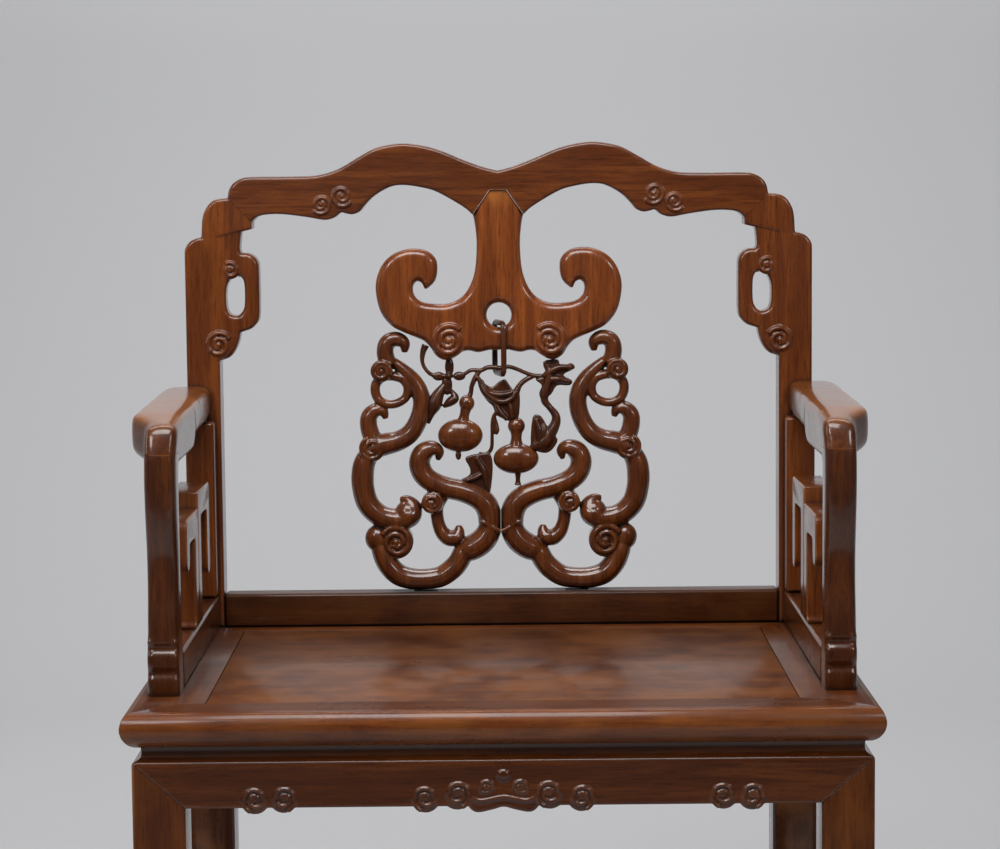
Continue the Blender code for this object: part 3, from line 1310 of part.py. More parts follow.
def arm_side():
    """Side view of an arm rest: level top, sloping a little at the front, and thicker front end."""
    rear = POST_FRONT - FIT_GAP
    top = ARM_TOP
    under = top - ARM_THICK
    low = top - ARM_EAR_DROP
    start = ARM_FRONT + ARM_HAUNCH_LENGTH
    dip = ARM_EAR_DROP - ARM_THICK
    return [(rear, under), (start + dip, under), (start - dip, low), (ARM_FRONT, low),
            (ARM_FRONT, top - ARM_SLOPE_DROP), (EAR_FRONT, top), (rear, top)]


def arm_neck(side):
    """The part of an arm rest that turns down onto its stump, and behind it."""
    head = ARM_TOP - STUMP_HEAD_DROP
    band = ARM_TOP - NOSE_BAND
    low = ARM_TOP - ARM_NECK_DROP
    rear = ARM_FRONT + ARM_HAUNCH_LENGTH
    front = [(STUMP_FRONT - bulge * STUMP_WAVE, head + share * (band - head))
             for share, bulge in NECK_SHARES]
    dip = ARM_NECK_DROP - ARM_THICK
    outline = front + [(rear, band), (rear, low + dip * HAUNCH_SHARES[2]),
                       (rear - dip * HAUNCH_SHARES[1], low + dip * HAUNCH_SHARES[1]),
                       (rear - dip * HAUNCH_SHARES[2], low), (STUMP_REAR + FIT_GAP, low),
                       (STUMP_REAR + FIT_GAP, head)]
    return board("arm_neck", [outline[::-1]], SIDE_THICK, facing_side(side * (SIDE_INNER + SIDE_OUTER) / 2))


def arm_section(side):
    """Front view of an arm rest, with its rounded cheek at the lower outer corner."""
    low = ARM_TOP - ARM_EAR_DROP - CUT_OVERRUN
    high = ARM_TOP + CUT_OVERRUN
    outer = SIDE_OUTER + ARM_REAR_OVERHANG
    inner = SIDE_INNER - ARM_FRONT_INNER_SET
    cheek_z = ARM_TOP - ARM_EAR_DROP + ARM_CHEEK_RADIUS
    cheek = round_corner((outer - ARM_CHEEK_RADIUS, cheek_z), ARM_CHEEK_RADIUS, -90, 0)
    outline = [(inner, high), (inner, ARM_TOP - NOSE_BAND), (SIDE_INNER, ARM_TOP - STUMP_HEAD_DROP),
               (SIDE_INNER, low), (outer - ARM_CHEEK_RADIUS, low), *cheek[1:], (outer, high)]
    return outline if side == RIGHT else mirrored(outline)


def stump_space(side):
    """The space that a stump's head takes up in the arm rest, with its gap."""
    low_x, high_x = sided(side, SIDE_INNER - ARM_FRONT_INNER_SET - CUT_OVERRUN, SIDE_OUTER + FIT_GAP)
    head = ARM_TOP - STUMP_HEAD_DROP
    return box("stump_space", (low_x, ARM_FRONT - CUT_OVERRUN, head - ARM_NECK_DROP),
               (high_x, STUMP_REAR + FIT_GAP, head))


def arm_tenon(side, play):
    """Tenon at the rear of an arm rest, in the post."""
    half = STUMP_TENON_SIZE / 2 + play
    tall = FLAT_TENON_THICK / 2 + play
    x = side * (SIDE_OUTER + SIDE_INNER) / 2
    z = ARM_TOP - ARM_TENON_DROP
    return box("arm_tenon", (x - half, POST_FRONT - STUMP_TENON_LENGTH, z - tall),
               (x + half, POST_FRONT + STUMP_TENON_LENGTH + play, z + tall))


def arm_rest(side, material):
    """Arm rest shaped by its plan, side and front views, tenoned into the post."""
    middle_x = side * (SIDE_INNER + SIDE_OUTER) / 2
    tall = ARM_EAR_DROP + 2 * CUT_OVERRUN
    arm = board("arm_rest_" + SIDE_NAMES[side], [arm_side()], 2 * (SIDE_THICK + ARM_REAR_OVERHANG),
                facing_side(middle_x))
    keep_common(arm, board("plan", [arm_plan(side)], tall, facing_up(ARM_TOP - ARM_EAR_DROP / 2)))
    depth = POST_FRONT - ARM_FRONT + 2 * CUT_OVERRUN
    keep_common(arm, board("section", [arm_section(side)], depth,
                           facing_front((POST_FRONT + ARM_FRONT) / 2)))
    soften(arm, SOFT_EDGE)
    cut(arm, stump_space(side))
    join(arm, arm_neck(side), arm_tenon(side, 0.0))
    cut(arm, stump_head_tenon(side, TENON_GAP), stile_tenon(side, True, TENON_GAP))
    return finish(arm, material)


def stump_head_tenon(side, play):
    """Tenon on top of a stump, up into the arm rest's turned-down end."""
    half = STUMP_TENON_SIZE / 2 + play
    deep = FLAT_TENON_THICK / 2 + play
    x = side * (SIDE_OUTER + SIDE_INNER) / 2
    y = (ARM_FRONT + STUMP_REAR) / 2
    low = ARM_TOP - STUMP_HEAD_DROP - STUMP_TENON_LENGTH
    high = ARM_TOP - STUMP_HEAD_DROP + STUMP_TENON_LENGTH + play
    return box("head_tenon", (x - half, y - deep, low), (x + half, y + deep, high))


def arm_stump(side, material):
    """Front post of an arm, waved in profile, with two rolls at its foot."""
    foot = SEATED
    head = ARM_TOP - STUMP_HEAD_DROP - FIT_GAP
    front = [(STUMP_FRONT - bulge * STUMP_WAVE, foot + share * (head - foot))
             for share, bulge in STUMP_SHARES]
    outline = [(STUMP_REAR, foot), (STUMP_REAR, head)] + front[::-1]
    middle_x = side * (SIDE_INNER + SIDE_OUTER) / 2
    stump = board("arm_stump_" + SIDE_NAMES[side], [outline], SIDE_THICK,
                  facing_side(middle_x), SOFT_EDGE)
    join(stump, stump_tenon(side, 0.0), stump_head_tenon(side, 0.0))
    cut(stump, base_rail_tenon(side, False, TENON_GAP))
    return finish(stump, material)


def base_rail_tenon(side, at_post, play):
    """Tenon at one end of an arm's base rail."""
    half = STUMP_TENON_SIZE / 2 + play
    x = side * (SIDE_OUTER + SIDE_INNER) / 2
    z = SEATED + BACK_RAIL_HEIGHT / 2
    reach = BASE_RAIL_TENON_LENGTH
    if at_post:
        low_y, high_y = POST_FRONT - reach, POST_FRONT + reach + play
    else:
        low_y, high_y = STUMP_REAR - reach - play, STUMP_REAR + reach
    return box("base_tenon", (x - half, low_y, z - half), (x + half, high_y, z + half))


def arm_base_rail(side, material):
    """Rail on the seat that carries the fretwork of an arm."""
    low_x, high_x = sided(side, SIDE_INNER, SIDE_OUTER)
    rail = box("arm_base_rail_" + SIDE_NAMES[side], (low_x, STUMP_REAR + FIT_GAP, SEATED),
               (high_x, POST_FRONT - FIT_GAP, RAIL_TOP))
    soften(rail)
    join(rail, base_rail_tenon(side, True, 0.0), base_rail_tenon(side, False, 0.0))
    cut(rail, stile_tenon(side, False, TENON_GAP))
    for direction in (FRONT, REAR):
        cut(rail, hook_tenon(side, direction, TENON_GAP))
    return finish(rail, material)


def stile_tenon(side, at_top, play):
    """Tenon at the top or foot of the rear stile."""
    half = FRET_TENON_SIZE / 2 + play
    deep = FRET_TENON_DEPTH / 2 + play
    x = side * (SIDE_OUTER + SIDE_INNER) / 2
    y = STILE_FRONT + FRET_BAR / 2
    end = ARM_TOP - ARM_THICK if at_top else RAIL_TOP
    inwards = -1 if at_top else 1
    outer_z = end - inwards * (FRET_TENON_LENGTH + play)
    low_z, high_z = sorted((outer_z, end + inwards * FRET_TENON_LENGTH))
    return box("stile_tenon", (x - half, y - deep, low_z), (x + half, y + deep, high_z))


def arm_rear_stile(side, material):
    """Upright of the fretwork against the back post."""
    low_x, high_x = sided(side, SIDE_INNER + FIT_GAP, SIDE_OUTER)
    stile = box("arm_rear_stile_" + SIDE_NAMES[side],
                (low_x, STILE_FRONT, RAIL_TOP + FIT_GAP),
                (high_x, POST_FRONT - FIT_GAP, ARM_TOP - ARM_THICK - FIT_GAP))
    soften(stile)
    join(stile, stile_tenon(side, True, 0.0), stile_tenon(side, False, 0.0))
    return finish(stile, material)


def fret_meeting():
    """Where the two fret hooks of an arm stand back to back."""
    return STUMP_REAR + FRET_MEETING_SHARE * (STILE_FRONT - STUMP_REAR)


def hook_tenon(side, direction, play):
    """Tenon at the foot of a fret hook, in the base rail."""
    half = FRET_TENON_SIZE / 2 + play
    x = side * (SIDE_OUTER + SIDE_INNER) / 2
    y = fret_meeting() + direction * (FRET_BAR / 2 + FIT_GAP)
    return box("hook_tenon", (x - half, y - half, RAIL_TOP - FRET_TENON_LENGTH - play),
               (x + half, y + half, RAIL_TOP + FRET_TENON_LENGTH))


def arm_hook(side, direction, material):
    """Hook of the fretwork with rounded corners: upright, cross bar and hanging end."""
    rear = direction == REAR
    foot = RAIL_TOP + FIT_GAP
    top = SEATED + (REAR_HOOK_TOP if rear else FRONT_HOOK_TOP)
    low = top - (REAR_HOOK_HANG if rear else FRONT_HOOK_HANG)
    start = fret_meeting() + direction * FIT_GAP
    end = STILE_FRONT - REAR_HOOK_SPACE if rear else STUMP_REAR + FRONT_HOOK_SPACE
    reach = abs(end - start)
    half = FRET_BAR / 2
    inner = min(FRET_INNER_RADIUS, (reach - 2 * FRET_BAR) / 3)
    corner = FRET_CORNER_RADIUS
    splay = FRET_FOOT_RADIUS
    outline = [(0.0, foot), (0.0, top)]
    outline += round_corner((reach - corner, top - corner), corner, 90, 0)[::2]
    outline += round_corner((reach - half, low + half), half, 0, -180)
    outline += round_corner((reach - FRET_BAR - inner, top - FRET_BAR - inner), inner, 0, 90)[::3]
    outline += round_corner((FRET_BAR + inner, top - FRET_BAR - inner), inner, 90, 180)[::3]
    outline += round_corner((FRET_BAR + splay, foot + splay), splay, 180, 220)[::3]
    outline.append((outline[-1][0], foot))
    outline = [(start + direction * along, up) for along, up in outline]
    if not rear:
        outline = outline[::-1]
    name = "arm_hook_" + END_NAMES[direction] + "_" + SIDE_NAMES[side]
    hook = board(name, [outline], SIDE_THICK - 2 * FIT_GAP,
                 facing_side(side * (SIDE_INNER + SIDE_OUTER) / 2), SOFT_EDGE / 2)
    join(hook, hook_tenon(side, direction, 0.0))
    return finish(hook, material)


def build_arms(material):
    """Both arms."""
    for side in (LEFT, RIGHT):
        arm_rest(side, material)
        arm_stump(side, material)
        arm_base_rail(side, material)
        arm_rear_stile(side, material)
        arm_hook(side, FRONT, material)
        arm_hook(side, REAR, material)


clear_scene()
PARTS = new_collection(COLLECTION_NAME)
frame_wood = wood("rosewood_frame", (0.155, 0.052, 0.022), 0.30)
seat_wood = wood("rosewood_seat", (0.125, 0.044, 0.022), 0.28)
splat_wood = wood("rosewood_splat", (0.205, 0.078, 0.024), 0.26)
vine_wood = wood("rosewood_vine", (0.095, 0.036, 0.018), 0.34)
hidden_wood = wood("rosewood_unpolished", (0.130, 0.058, 0.032), 0.60)
build_seat(seat_wood, hidden_wood)
build_base(frame_wood)
build_back(frame_wood, splat_wood, vine_wood)
build_arms(frame_wood)
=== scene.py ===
"""The looks of a carved rosewood armchair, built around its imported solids."""
import math

import bpy
from mathutils import Matrix, Vector


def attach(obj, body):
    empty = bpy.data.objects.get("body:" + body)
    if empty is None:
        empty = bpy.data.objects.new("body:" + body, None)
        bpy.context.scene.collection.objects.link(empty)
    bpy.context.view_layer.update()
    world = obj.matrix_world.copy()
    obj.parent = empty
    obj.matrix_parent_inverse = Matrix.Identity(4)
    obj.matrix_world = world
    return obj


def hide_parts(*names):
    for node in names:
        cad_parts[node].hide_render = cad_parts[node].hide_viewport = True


bl_info = {
    "name": "Carved rosewood armchair",
    "version": (1, 0, 0),
    "blender": (4, 5, 0),
    "location": "3D View > Sidebar > Armchair",
    "description": "Builds the carved, polished pieces of a waisted rosewood armchair",
    "category": "Object",
}

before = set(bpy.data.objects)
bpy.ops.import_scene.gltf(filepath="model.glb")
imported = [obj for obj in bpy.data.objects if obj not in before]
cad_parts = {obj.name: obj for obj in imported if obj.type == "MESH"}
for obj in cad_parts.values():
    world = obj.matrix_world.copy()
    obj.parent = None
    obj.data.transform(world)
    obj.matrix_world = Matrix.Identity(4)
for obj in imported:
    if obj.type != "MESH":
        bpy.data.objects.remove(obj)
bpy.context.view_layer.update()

MM = 0.001
LEFT, RIGHT = -1, 1
SIDES = {LEFT: "left", RIGHT: "right"}
FRONT, BACK = -1, 1
ENDS = {FRONT: "front", BACK: "back"}
GAP = 0.3 * MM
# How far the crest rail and a post are each cut back at their mitre, measured upright.
MITRE_DROP = GAP * 0.7
DOUBLED_WITHIN = 0.01 * MM
CUT_WITHIN = 0.001 * MM
# Angles: faces count as flat up to the first, and edges are rounded from the second, on a seat rail
# from the third, and shade hard from the last.
FLAT_WITHIN = math.radians(1)
ROUNDED_EDGE = math.radians(25)
RAIL_EDGE = math.radians(40)
HARD_EDGE = math.radians(38)
APRON_GRID = 0.75 * MM
ARM_GRID = 1.6 * MM

# How wide the arrises of the plain pieces are rounded.
ARRIS = 1.0 * MM
RAIL_ARRIS = 0.5 * MM
PANEL_ARRIS = 0.7 * MM
LEG_ARRIS = 0.9 * MM
LINK_ARRIS = 0.5 * MM
FRET_ARRIS = 1.6 * MM

# Sizes that the pieces share with the solids, in metres.
SEAT_TOP = 0.500
SEAT_UNDER = 0.470
SEAT_HALF = 0.320
SEAT_BACK = 0.2325
LONG_RAIL_WIDTHS = {FRONT: 0.045, BACK: 0.068}
SIDE_RAIL_WIDTH = 0.068
PANEL_THICK = 0.014
LEG_OUTER_X = 0.3115
LEG_OUTER_Y = 0.224
LEG_SIZE = 0.0445
LEG_SHOULDER = 0.039
POST_OUTER = 0.3055
POST_INNER = 0.273
POST_FRONT = 0.18425
POST_BACK = 0.21925
RAIL_TOP = 0.5333
CREST_BASE = 0.895
BACK_RISE = (CREST_BASE - RAIL_TOP) / 0.821
CREST_FALL = 0.0783
SPLAT_HALF = 0.148
SPLAT_FRONT = 0.18625
SPLAT_THICK = 0.024
SPLAT_MIDDLE = SPLAT_FRONT + SPLAT_THICK / 2
APRON_BOTTOM = 0.4177
APRON_TOP = 0.4697
APRON_THICK = 0.020
ARM_TOP = 0.739
SIDE_OUTER = 0.3055
SIDE_INNER = 0.2775
SIDE_MIDDLE = (SIDE_OUTER + SIDE_INNER) / 2
STUMP_FRONT = -0.156
STUMP_BACK = -0.122
STUMP_TOP = 0.708

# How far cutting shapes, and ends that are still to be cut, reach past their joint.
CARVE_DEPTH = 0.080
MITRE_OVERRUN = 0.008
RAIL_OVERRUN = 0.040
ARM_OVERRUN = 0.012
STEM_HOLE_OVERRUNS = (0.010, 0.020)
CREST_SPACE_OVERRUNS = (0.020, 0.010)
STUMP_SPACE_HALF = 0.040
STUMP_SPACE_OVERRUN = 0.030

# The roll at the front of an arm: its middle (y, z) and radius, and where the rounding starts.
ROLL_MIDDLE = (-0.1395, 0.7168)
ROLL_RADIUS = 0.018
ROLL_TURNS = (22, 45, 68)
ROUNDED_FROM = 0.548
# The wood that ties rest and stump together, and how near an end its points lie.
BRIDGE_HALF = (0.0130, 0.004)
BRIDGE_FRONT = STUMP_FRONT + 0.002
BRIDGE_BACK = STUMP_BACK - 0.001
STUMP_PAST = 0.5 * MM
REAR_END_WITHIN = 0.002
FOOT_END_WITHIN = 0.003
ARM_ROUNDS = 26
UPPER_ROUNDS = 120

# Crest rail: x as a share of the half width of the back, height as a share of CREST_FALL.
CREST_TOP = (
    (0.000, 0.655), (0.050, 0.705), (0.115, 0.800), (0.172, 0.895), (0.225, 0.960), (0.291, 1.000),
    (0.345, 0.984), (0.396, 0.932), (0.450, 0.817), (0.508, 0.690), (0.572, 0.618), (0.651, 0.604),
    (0.780, 0.604), (0.814, 0.588), (0.840, 0.530), (0.854, 0.453), (0.860, 0.345),
)
CREST_UNDER = (
    (0.784, 0.042), (0.765, 0.112), (0.730, 0.138), (0.679, 0.136), (0.603, 0.096), (0.552, 0.062),
    (0.520, 0.092), (0.500, 0.152), (0.484, 0.140), (0.462, 0.128), (0.440, 0.163), (0.424, 0.236),
    (0.392, 0.358), (0.340, 0.467), (0.290, 0.483), (0.223, 0.437), (0.188, 0.386), (0.150, 0.304),
    (0.106, 0.197), (0.081, 0.109),
)
# A post's stepped shoulder: x inwards as a share of its width, height as a share of SHOULDER_HEIGHT.
SHOULDER = (
    (0.000, 0.000), (0.017, 0.080), (0.112, 0.180), (0.251, 0.240), (0.389, 0.258), (0.407, 0.500),
    (0.441, 0.640), (0.528, 0.770), (0.657, 0.865), (0.805, 0.900), (1.000, 0.912),
)
SHOULDER_HEIGHT = 0.058
# A bracket and its slot: x inwards from the post as a share of BRACKET_WIDTH, and the way down from
# the mitre, as a share that brings the last row BRACKET_CLEARANCE above the arm.
BRACKET = (
    (0.600, 0.060), (0.560, 0.140), (0.550, 0.260), (0.720, 0.272), (0.880, 0.300), (0.975, 0.350),
    (1.000, 0.430), (1.000, 0.790), (0.960, 0.880), (0.800, 0.940), (0.520, 0.975), (0.480, 1.050),
    (0.390, 1.130), (0.240, 1.195), (0.000, 1.225),
)
BRACKET_SLOT = (
    (0.262, 0.517), (0.192, 0.581), (0.177, 0.673), (0.197, 0.765), (0.272, 0.811), (0.442, 0.825),
    (0.560, 0.793), (0.629, 0.728), (0.633, 0.563), (0.590, 0.499), (0.492, 0.471), (0.362, 0.480),
)
BRACKET_WIDTH = 0.0395
BRACKET_CLEARANCE = 0.0245
BRACKET_THICK = 0.026
BRACKET_DEPTH = 0.0145
BRACKET_EDGE = 4.5 * MM
BRACKET_OVERLAP = 0.011
# x, height, radius and front of a bracket's volutes, in metres, with start and winding of the coil.
BRACKET_CURL = (0.2612, 0.8518, 0.0092, POST_FRONT, 60, 1)
BRACKET_VOLUTE = (0.2738, 0.7794, 0.0146, POST_FRONT, 150, -1)
POST_STEP = 0.008
CURL_TIP_BEHIND = 0.0105
CURL_TIP_DEPTH = 2.2

# Clouds of the crest rail and the tip of a bracket's curl, in metres.
CREST_CLOUDS = ((0.1717, 0.9150, 0.0112, 320, -1), (0.1515, 0.9228, 0.0122, 215, 1))
CURL_TIP = (
    (0.2575, 0.8560, 0.0048), (0.2545, 0.8530, 0.0044), (0.2530, 0.8490, 0.0034),
    (0.2538, 0.8455, 0.0020),
)

# Parts of a volute as shares of its radius: cord, end of the spiral, round bed and bead.
CORD_SHARE = 0.150
SPIRAL_END_SHARE = 0.22
BED_SHARE = 0.94
BEAD_SHARE = 0.19
# How much the cord thins, and how far the bed lies behind its front, as shares of the cord.
CORD_TAPER_SHARE = 0.15
BED_DROP_SHARE = 1.25
VOLUTE_STEPS = 72
BED_DEEP = 8 * MM
BED_EDGE = 1.2 * MM

# Splat: x and half width as shares of SPLAT_HALF, height as a share of BACK_RISE above the rail.
HEAD = (
    (0.168, 0.845), (0.152, 0.814), (0.144, 0.774), (0.155, 0.721), (0.190, 0.684), (0.245, 0.659),
    (0.328, 0.645), (0.425, 0.644), (0.508, 0.649), (0.556, 0.663), (0.565, 0.682), (0.540, 0.694),
    (0.508, 0.690), (0.487, 0.677), (0.455, 0.682), (0.419, 0.695), (0.403, 0.716), (0.410, 0.742),
    (0.460, 0.760), (0.535, 0.767), (0.620, 0.765), (0.710, 0.752), (0.775, 0.728), (0.812, 0.692),
    (0.806, 0.655), (0.775, 0.622), (0.712, 0.596), (0.642, 0.583), (0.560, 0.571), (0.495, 0.561),
    (0.455, 0.547), (0.418, 0.528), (0.361, 0.518), (0.300, 0.523), (0.245, 0.536), (0.200, 0.539),
    (0.139, 0.535), (0.067, 0.540),
)
HEAD_TIP = (0.054, 0.895)
HEAD_EYE = 0.618
HOOK_END = (0.458, 0.711)
HEAD_EYE_RADIUS = 0.0120
HEAD_VOLUTE = (0.334, 0.563, 0.122)
HEAD_RISE = 0.012
HOOK_END_SIZES = (0.0075, 0.0112, 0.0085)
LOBE_HALF_DEPTH = 0.0118
BALL_HALF_DEPTH = 0.0128
LEAF_THICK = 0.0075
LEAF_EDGE = 1.6 * MM
VEIN_PROUD = 0.0036
EYELET_PROUD = 2.5 * MM
TAIL_PROUD = 1.0 * MM
TIE_PROUD = 0.5 * MM
# Depth of a carved band as a share of its width, and how far the veins are widened.
SCROLL_DEPTH = 1.22
BRANCH_DEPTH = 1.3
TWIG_DEPTH = 1.2
VEIN_DEPTH = 1.3
VEIN_WIDENING = 1.6
TOP_HOOK = (
    (0.628, 0.536, 0.020), (0.630, 0.556, 0.042), (0.684, 0.566, 0.051), (0.742, 0.558, 0.056),
    (0.757, 0.535, 0.058), (0.735, 0.508, 0.060),
)
SWEEP = (
    (0.702, 0.515, 0.033), (0.637, 0.497, 0.043), (0.572, 0.474, 0.053), (0.530, 0.447, 0.059),
    (0.518, 0.418, 0.061), (0.543, 0.384, 0.063), (0.597, 0.355, 0.065), (0.677, 0.338, 0.069),
    (0.764, 0.331, 0.076), (0.844, 0.322, 0.076),
)
EYELET = (
    (0.710, 0.484, 0.032), (0.644, 0.477, 0.032), (0.609, 0.459, 0.032), (0.623, 0.436, 0.030),
    (0.680, 0.423, 0.030), (0.740, 0.421, 0.030), (0.799, 0.430, 0.032), (0.824, 0.448, 0.033),
    (0.817, 0.468, 0.033), (0.770, 0.482, 0.032), (0.710, 0.484, 0.032),
)
SIDE_HOOK = (
    (0.758, 0.388, 0.018), (0.776, 0.404, 0.038), (0.826, 0.407, 0.050), (0.870, 0.392, 0.057),
    (0.870, 0.367, 0.060), (0.846, 0.342, 0.062),
)
GREAT_C = (
    (0.864, 0.313, 0.066), (0.905, 0.288, 0.074), (0.918, 0.260, 0.077), (0.914, 0.231, 0.076),
    (0.888, 0.199, 0.076), (0.830, 0.176, 0.075), (0.760, 0.164, 0.074), (0.669, 0.161, 0.076),
    (0.609, 0.173, 0.085), (0.594, 0.191, 0.062), (0.627, 0.205, 0.036), (0.672, 0.207, 0.015),
)
LOWER_C = (
    (0.822, 0.116, 0.050), (0.796, 0.090, 0.070), (0.756, 0.060, 0.074), (0.690, 0.037, 0.074),
    (0.605, 0.027, 0.072), (0.505, 0.0257, 0.070), (0.405, 0.031, 0.071), (0.325, 0.049, 0.073),
    (0.282, 0.066, 0.072), (0.250, 0.086, 0.070), (0.215, 0.100, 0.055),
)
KNOT = (
    (0.285, 0.082, 0.045), (0.250, 0.087, 0.070), (0.205, 0.094, 0.086), (0.150, 0.104, 0.088),
    (0.105, 0.118, 0.086), (0.077, 0.137, 0.080), (0.069, 0.160, 0.074),
)
HEART = (
    (0.417, 0.294, 0.015), (0.408, 0.311, 0.038), (0.450, 0.320, 0.056), (0.512, 0.311, 0.068),
    (0.538, 0.289, 0.072), (0.517, 0.264, 0.073), (0.458, 0.246, 0.072), (0.360, 0.232, 0.072),
    (0.258, 0.224, 0.074), (0.168, 0.212, 0.078), (0.110, 0.197, 0.081), (0.080, 0.176, 0.081),
    (0.072, 0.152, 0.079), (0.072, 0.130, 0.076),
)
HEART_LEG = (
    (0.390, 0.212, 0.045), (0.425, 0.190, 0.046), (0.425, 0.168, 0.044), (0.414, 0.148, 0.045),
    (0.390, 0.130, 0.050), (0.345, 0.118, 0.056), (0.300, 0.122, 0.057), (0.281, 0.134, 0.040),
    (0.283, 0.147, 0.018),
)
TIE = ((0.135, 0.160, 0.008), (0.098, 0.153, 0.013), (0.055, 0.144, 0.015), (0.000, 0.136, 0.015))
# x, height, radius, turn the coil starts at, which way it winds.
VOLUTES = (
    (0.781, 0.496, 0.077, 200, -1), (0.850, 0.323, 0.092, 60, -1), (0.698, 0.113, 0.122, 30, 1),
    (0.455, 0.200, 0.077, 120, 1),
)
SIDE_LOBE = (0.826, 0.119, 0.086)
TAIL_BALL = (0.618, 0.176, 0.088)

# Vine, on both sides of the middle.
BRANCH = (
    (-0.300, 0.482, 0.014), (-0.237, 0.486, 0.013), (-0.186, 0.495, 0.014), (-0.125, 0.494, 0.015),
    (-0.084, 0.500, 0.016), (-0.039, 0.501, 0.017), (0.007, 0.499, 0.017), (0.058, 0.502, 0.015),
    (0.118, 0.496, 0.014), (0.179, 0.487, 0.014), (0.240, 0.481, 0.015), (0.320, 0.480, 0.018),
)
TWIGS = (
    ((-0.487, 0.552, 0.026), (-0.506, 0.536, 0.020), (-0.511, 0.515, 0.014), (-0.490, 0.498, 0.013),
     (-0.445, 0.485, 0.014), (-0.360, 0.482, 0.018)),
    ((-0.130, 0.493, 0.015), (-0.161, 0.478, 0.018), (-0.185, 0.459, 0.016), (-0.191, 0.445, 0.016),
     (-0.208, 0.431, 0.022)),
    ((-0.012, 0.402, 0.016), (-0.039, 0.392, 0.014), (-0.052, 0.376, 0.012), (-0.053, 0.348, 0.012),
     (-0.058, 0.320, 0.013), (-0.091, 0.307, 0.013), (-0.142, 0.308, 0.013)),
    ((-0.039, 0.391, 0.012), (-0.026, 0.376, 0.013), (-0.022, 0.360, 0.019), (-0.026, 0.350, 0.008)),
    ((0.235, 0.482, 0.015), (0.168, 0.471, 0.018), (0.129, 0.458, 0.019), (0.100, 0.437, 0.030)),
    ((0.305, 0.447, 0.030), (0.297, 0.426, 0.026), (0.331, 0.410, 0.022), (0.369, 0.393, 0.028),
     (0.369, 0.374, 0.034), (0.329, 0.350, 0.044), (0.276, 0.329, 0.050), (0.200, 0.318, 0.020)),
    ((0.116, 0.270, 0.026), (0.116, 0.249, 0.016), (0.115, 0.236, 0.024)),
    ((-0.476, 0.376, 0.010), (-0.461, 0.398, 0.030), (-0.437, 0.418, 0.050), (-0.411, 0.439, 0.042),
     (-0.370, 0.462, 0.020)),
    ((-0.376, 0.413, 0.010), (-0.336, 0.423, 0.030), (-0.300, 0.433, 0.032), (-0.314, 0.446, 0.016),
     (-0.350, 0.456, 0.014)),
)
LEAVES = (
    ((-0.146, 0.484), (-0.136, 0.455), (-0.087, 0.427), (-0.047, 0.414), (-0.022, 0.394),
     (0.064, 0.380), (0.120, 0.384), (0.135, 0.430), (0.122, 0.447), (0.097, 0.447), (0.062, 0.463),
     (0.037, 0.474), (-0.004, 0.469), (-0.050, 0.457), (-0.096, 0.465)),
    ((-0.234, 0.297), (-0.204, 0.276), (-0.207, 0.260), (-0.266, 0.248), (-0.195, 0.236),
     (-0.135, 0.222), (-0.079, 0.214), (-0.058, 0.244), (-0.051, 0.286), (-0.073, 0.309),
     (-0.132, 0.308), (-0.193, 0.305)),
    ((0.289, 0.512), (0.388, 0.517), (0.403, 0.501), (0.474, 0.509), (0.499, 0.497), (0.422, 0.483),
     (0.481, 0.470), (0.462, 0.459), (0.381, 0.459), (0.340, 0.439), (0.279, 0.428), (0.262, 0.443),
     (0.280, 0.460), (0.239, 0.473), (0.309, 0.482)),
    ((0.203, 0.322), (0.217, 0.388), (0.267, 0.392), (0.298, 0.378), (0.337, 0.353), (0.383, 0.339),
     (0.352, 0.318), (0.306, 0.308), (0.245, 0.312)),
)
# Raised veins that run down the leaves.
VEINS = (
    ((-0.140, 0.480, 0.008), (-0.110, 0.450, 0.012), (-0.050, 0.431, 0.014), (0.020, 0.424, 0.014),
     (0.080, 0.432, 0.012), (0.105, 0.446, 0.008)),
    ((-0.120, 0.474, 0.006), (-0.080, 0.448, 0.010), (-0.010, 0.440, 0.012), (0.060, 0.443, 0.010),
     (0.092, 0.448, 0.006)),
    ((-0.030, 0.425, 0.008), (-0.002, 0.404, 0.012), (0.050, 0.384, 0.010)),
    ((0.060, 0.426, 0.008), (0.075, 0.405, 0.012), (0.085, 0.388, 0.010)),
    ((-0.160, 0.300, 0.008), (-0.110, 0.270, 0.014), (-0.090, 0.240, 0.012), (-0.085, 0.222, 0.006)),
    ((-0.100, 0.268, 0.008), (-0.160, 0.256, 0.012), (-0.230, 0.248, 0.008)),
    ((0.290, 0.480, 0.010), (0.340, 0.492, 0.016), (0.400, 0.500, 0.014), (0.480, 0.500, 0.010)),
    ((0.300, 0.470, 0.010), (0.360, 0.474, 0.016), (0.420, 0.472, 0.014), (0.465, 0.466, 0.008)),
    ((0.320, 0.505, 0.008), (0.330, 0.485, 0.014), (0.310, 0.455, 0.014), (0.290, 0.436, 0.010)),
    ((0.240, 0.385, 0.008), (0.260, 0.360, 0.016), (0.270, 0.335, 0.014)),
    ((0.290, 0.372, 0.008), (0.290, 0.350, 0.014), (0.250, 0.325, 0.010)),
)
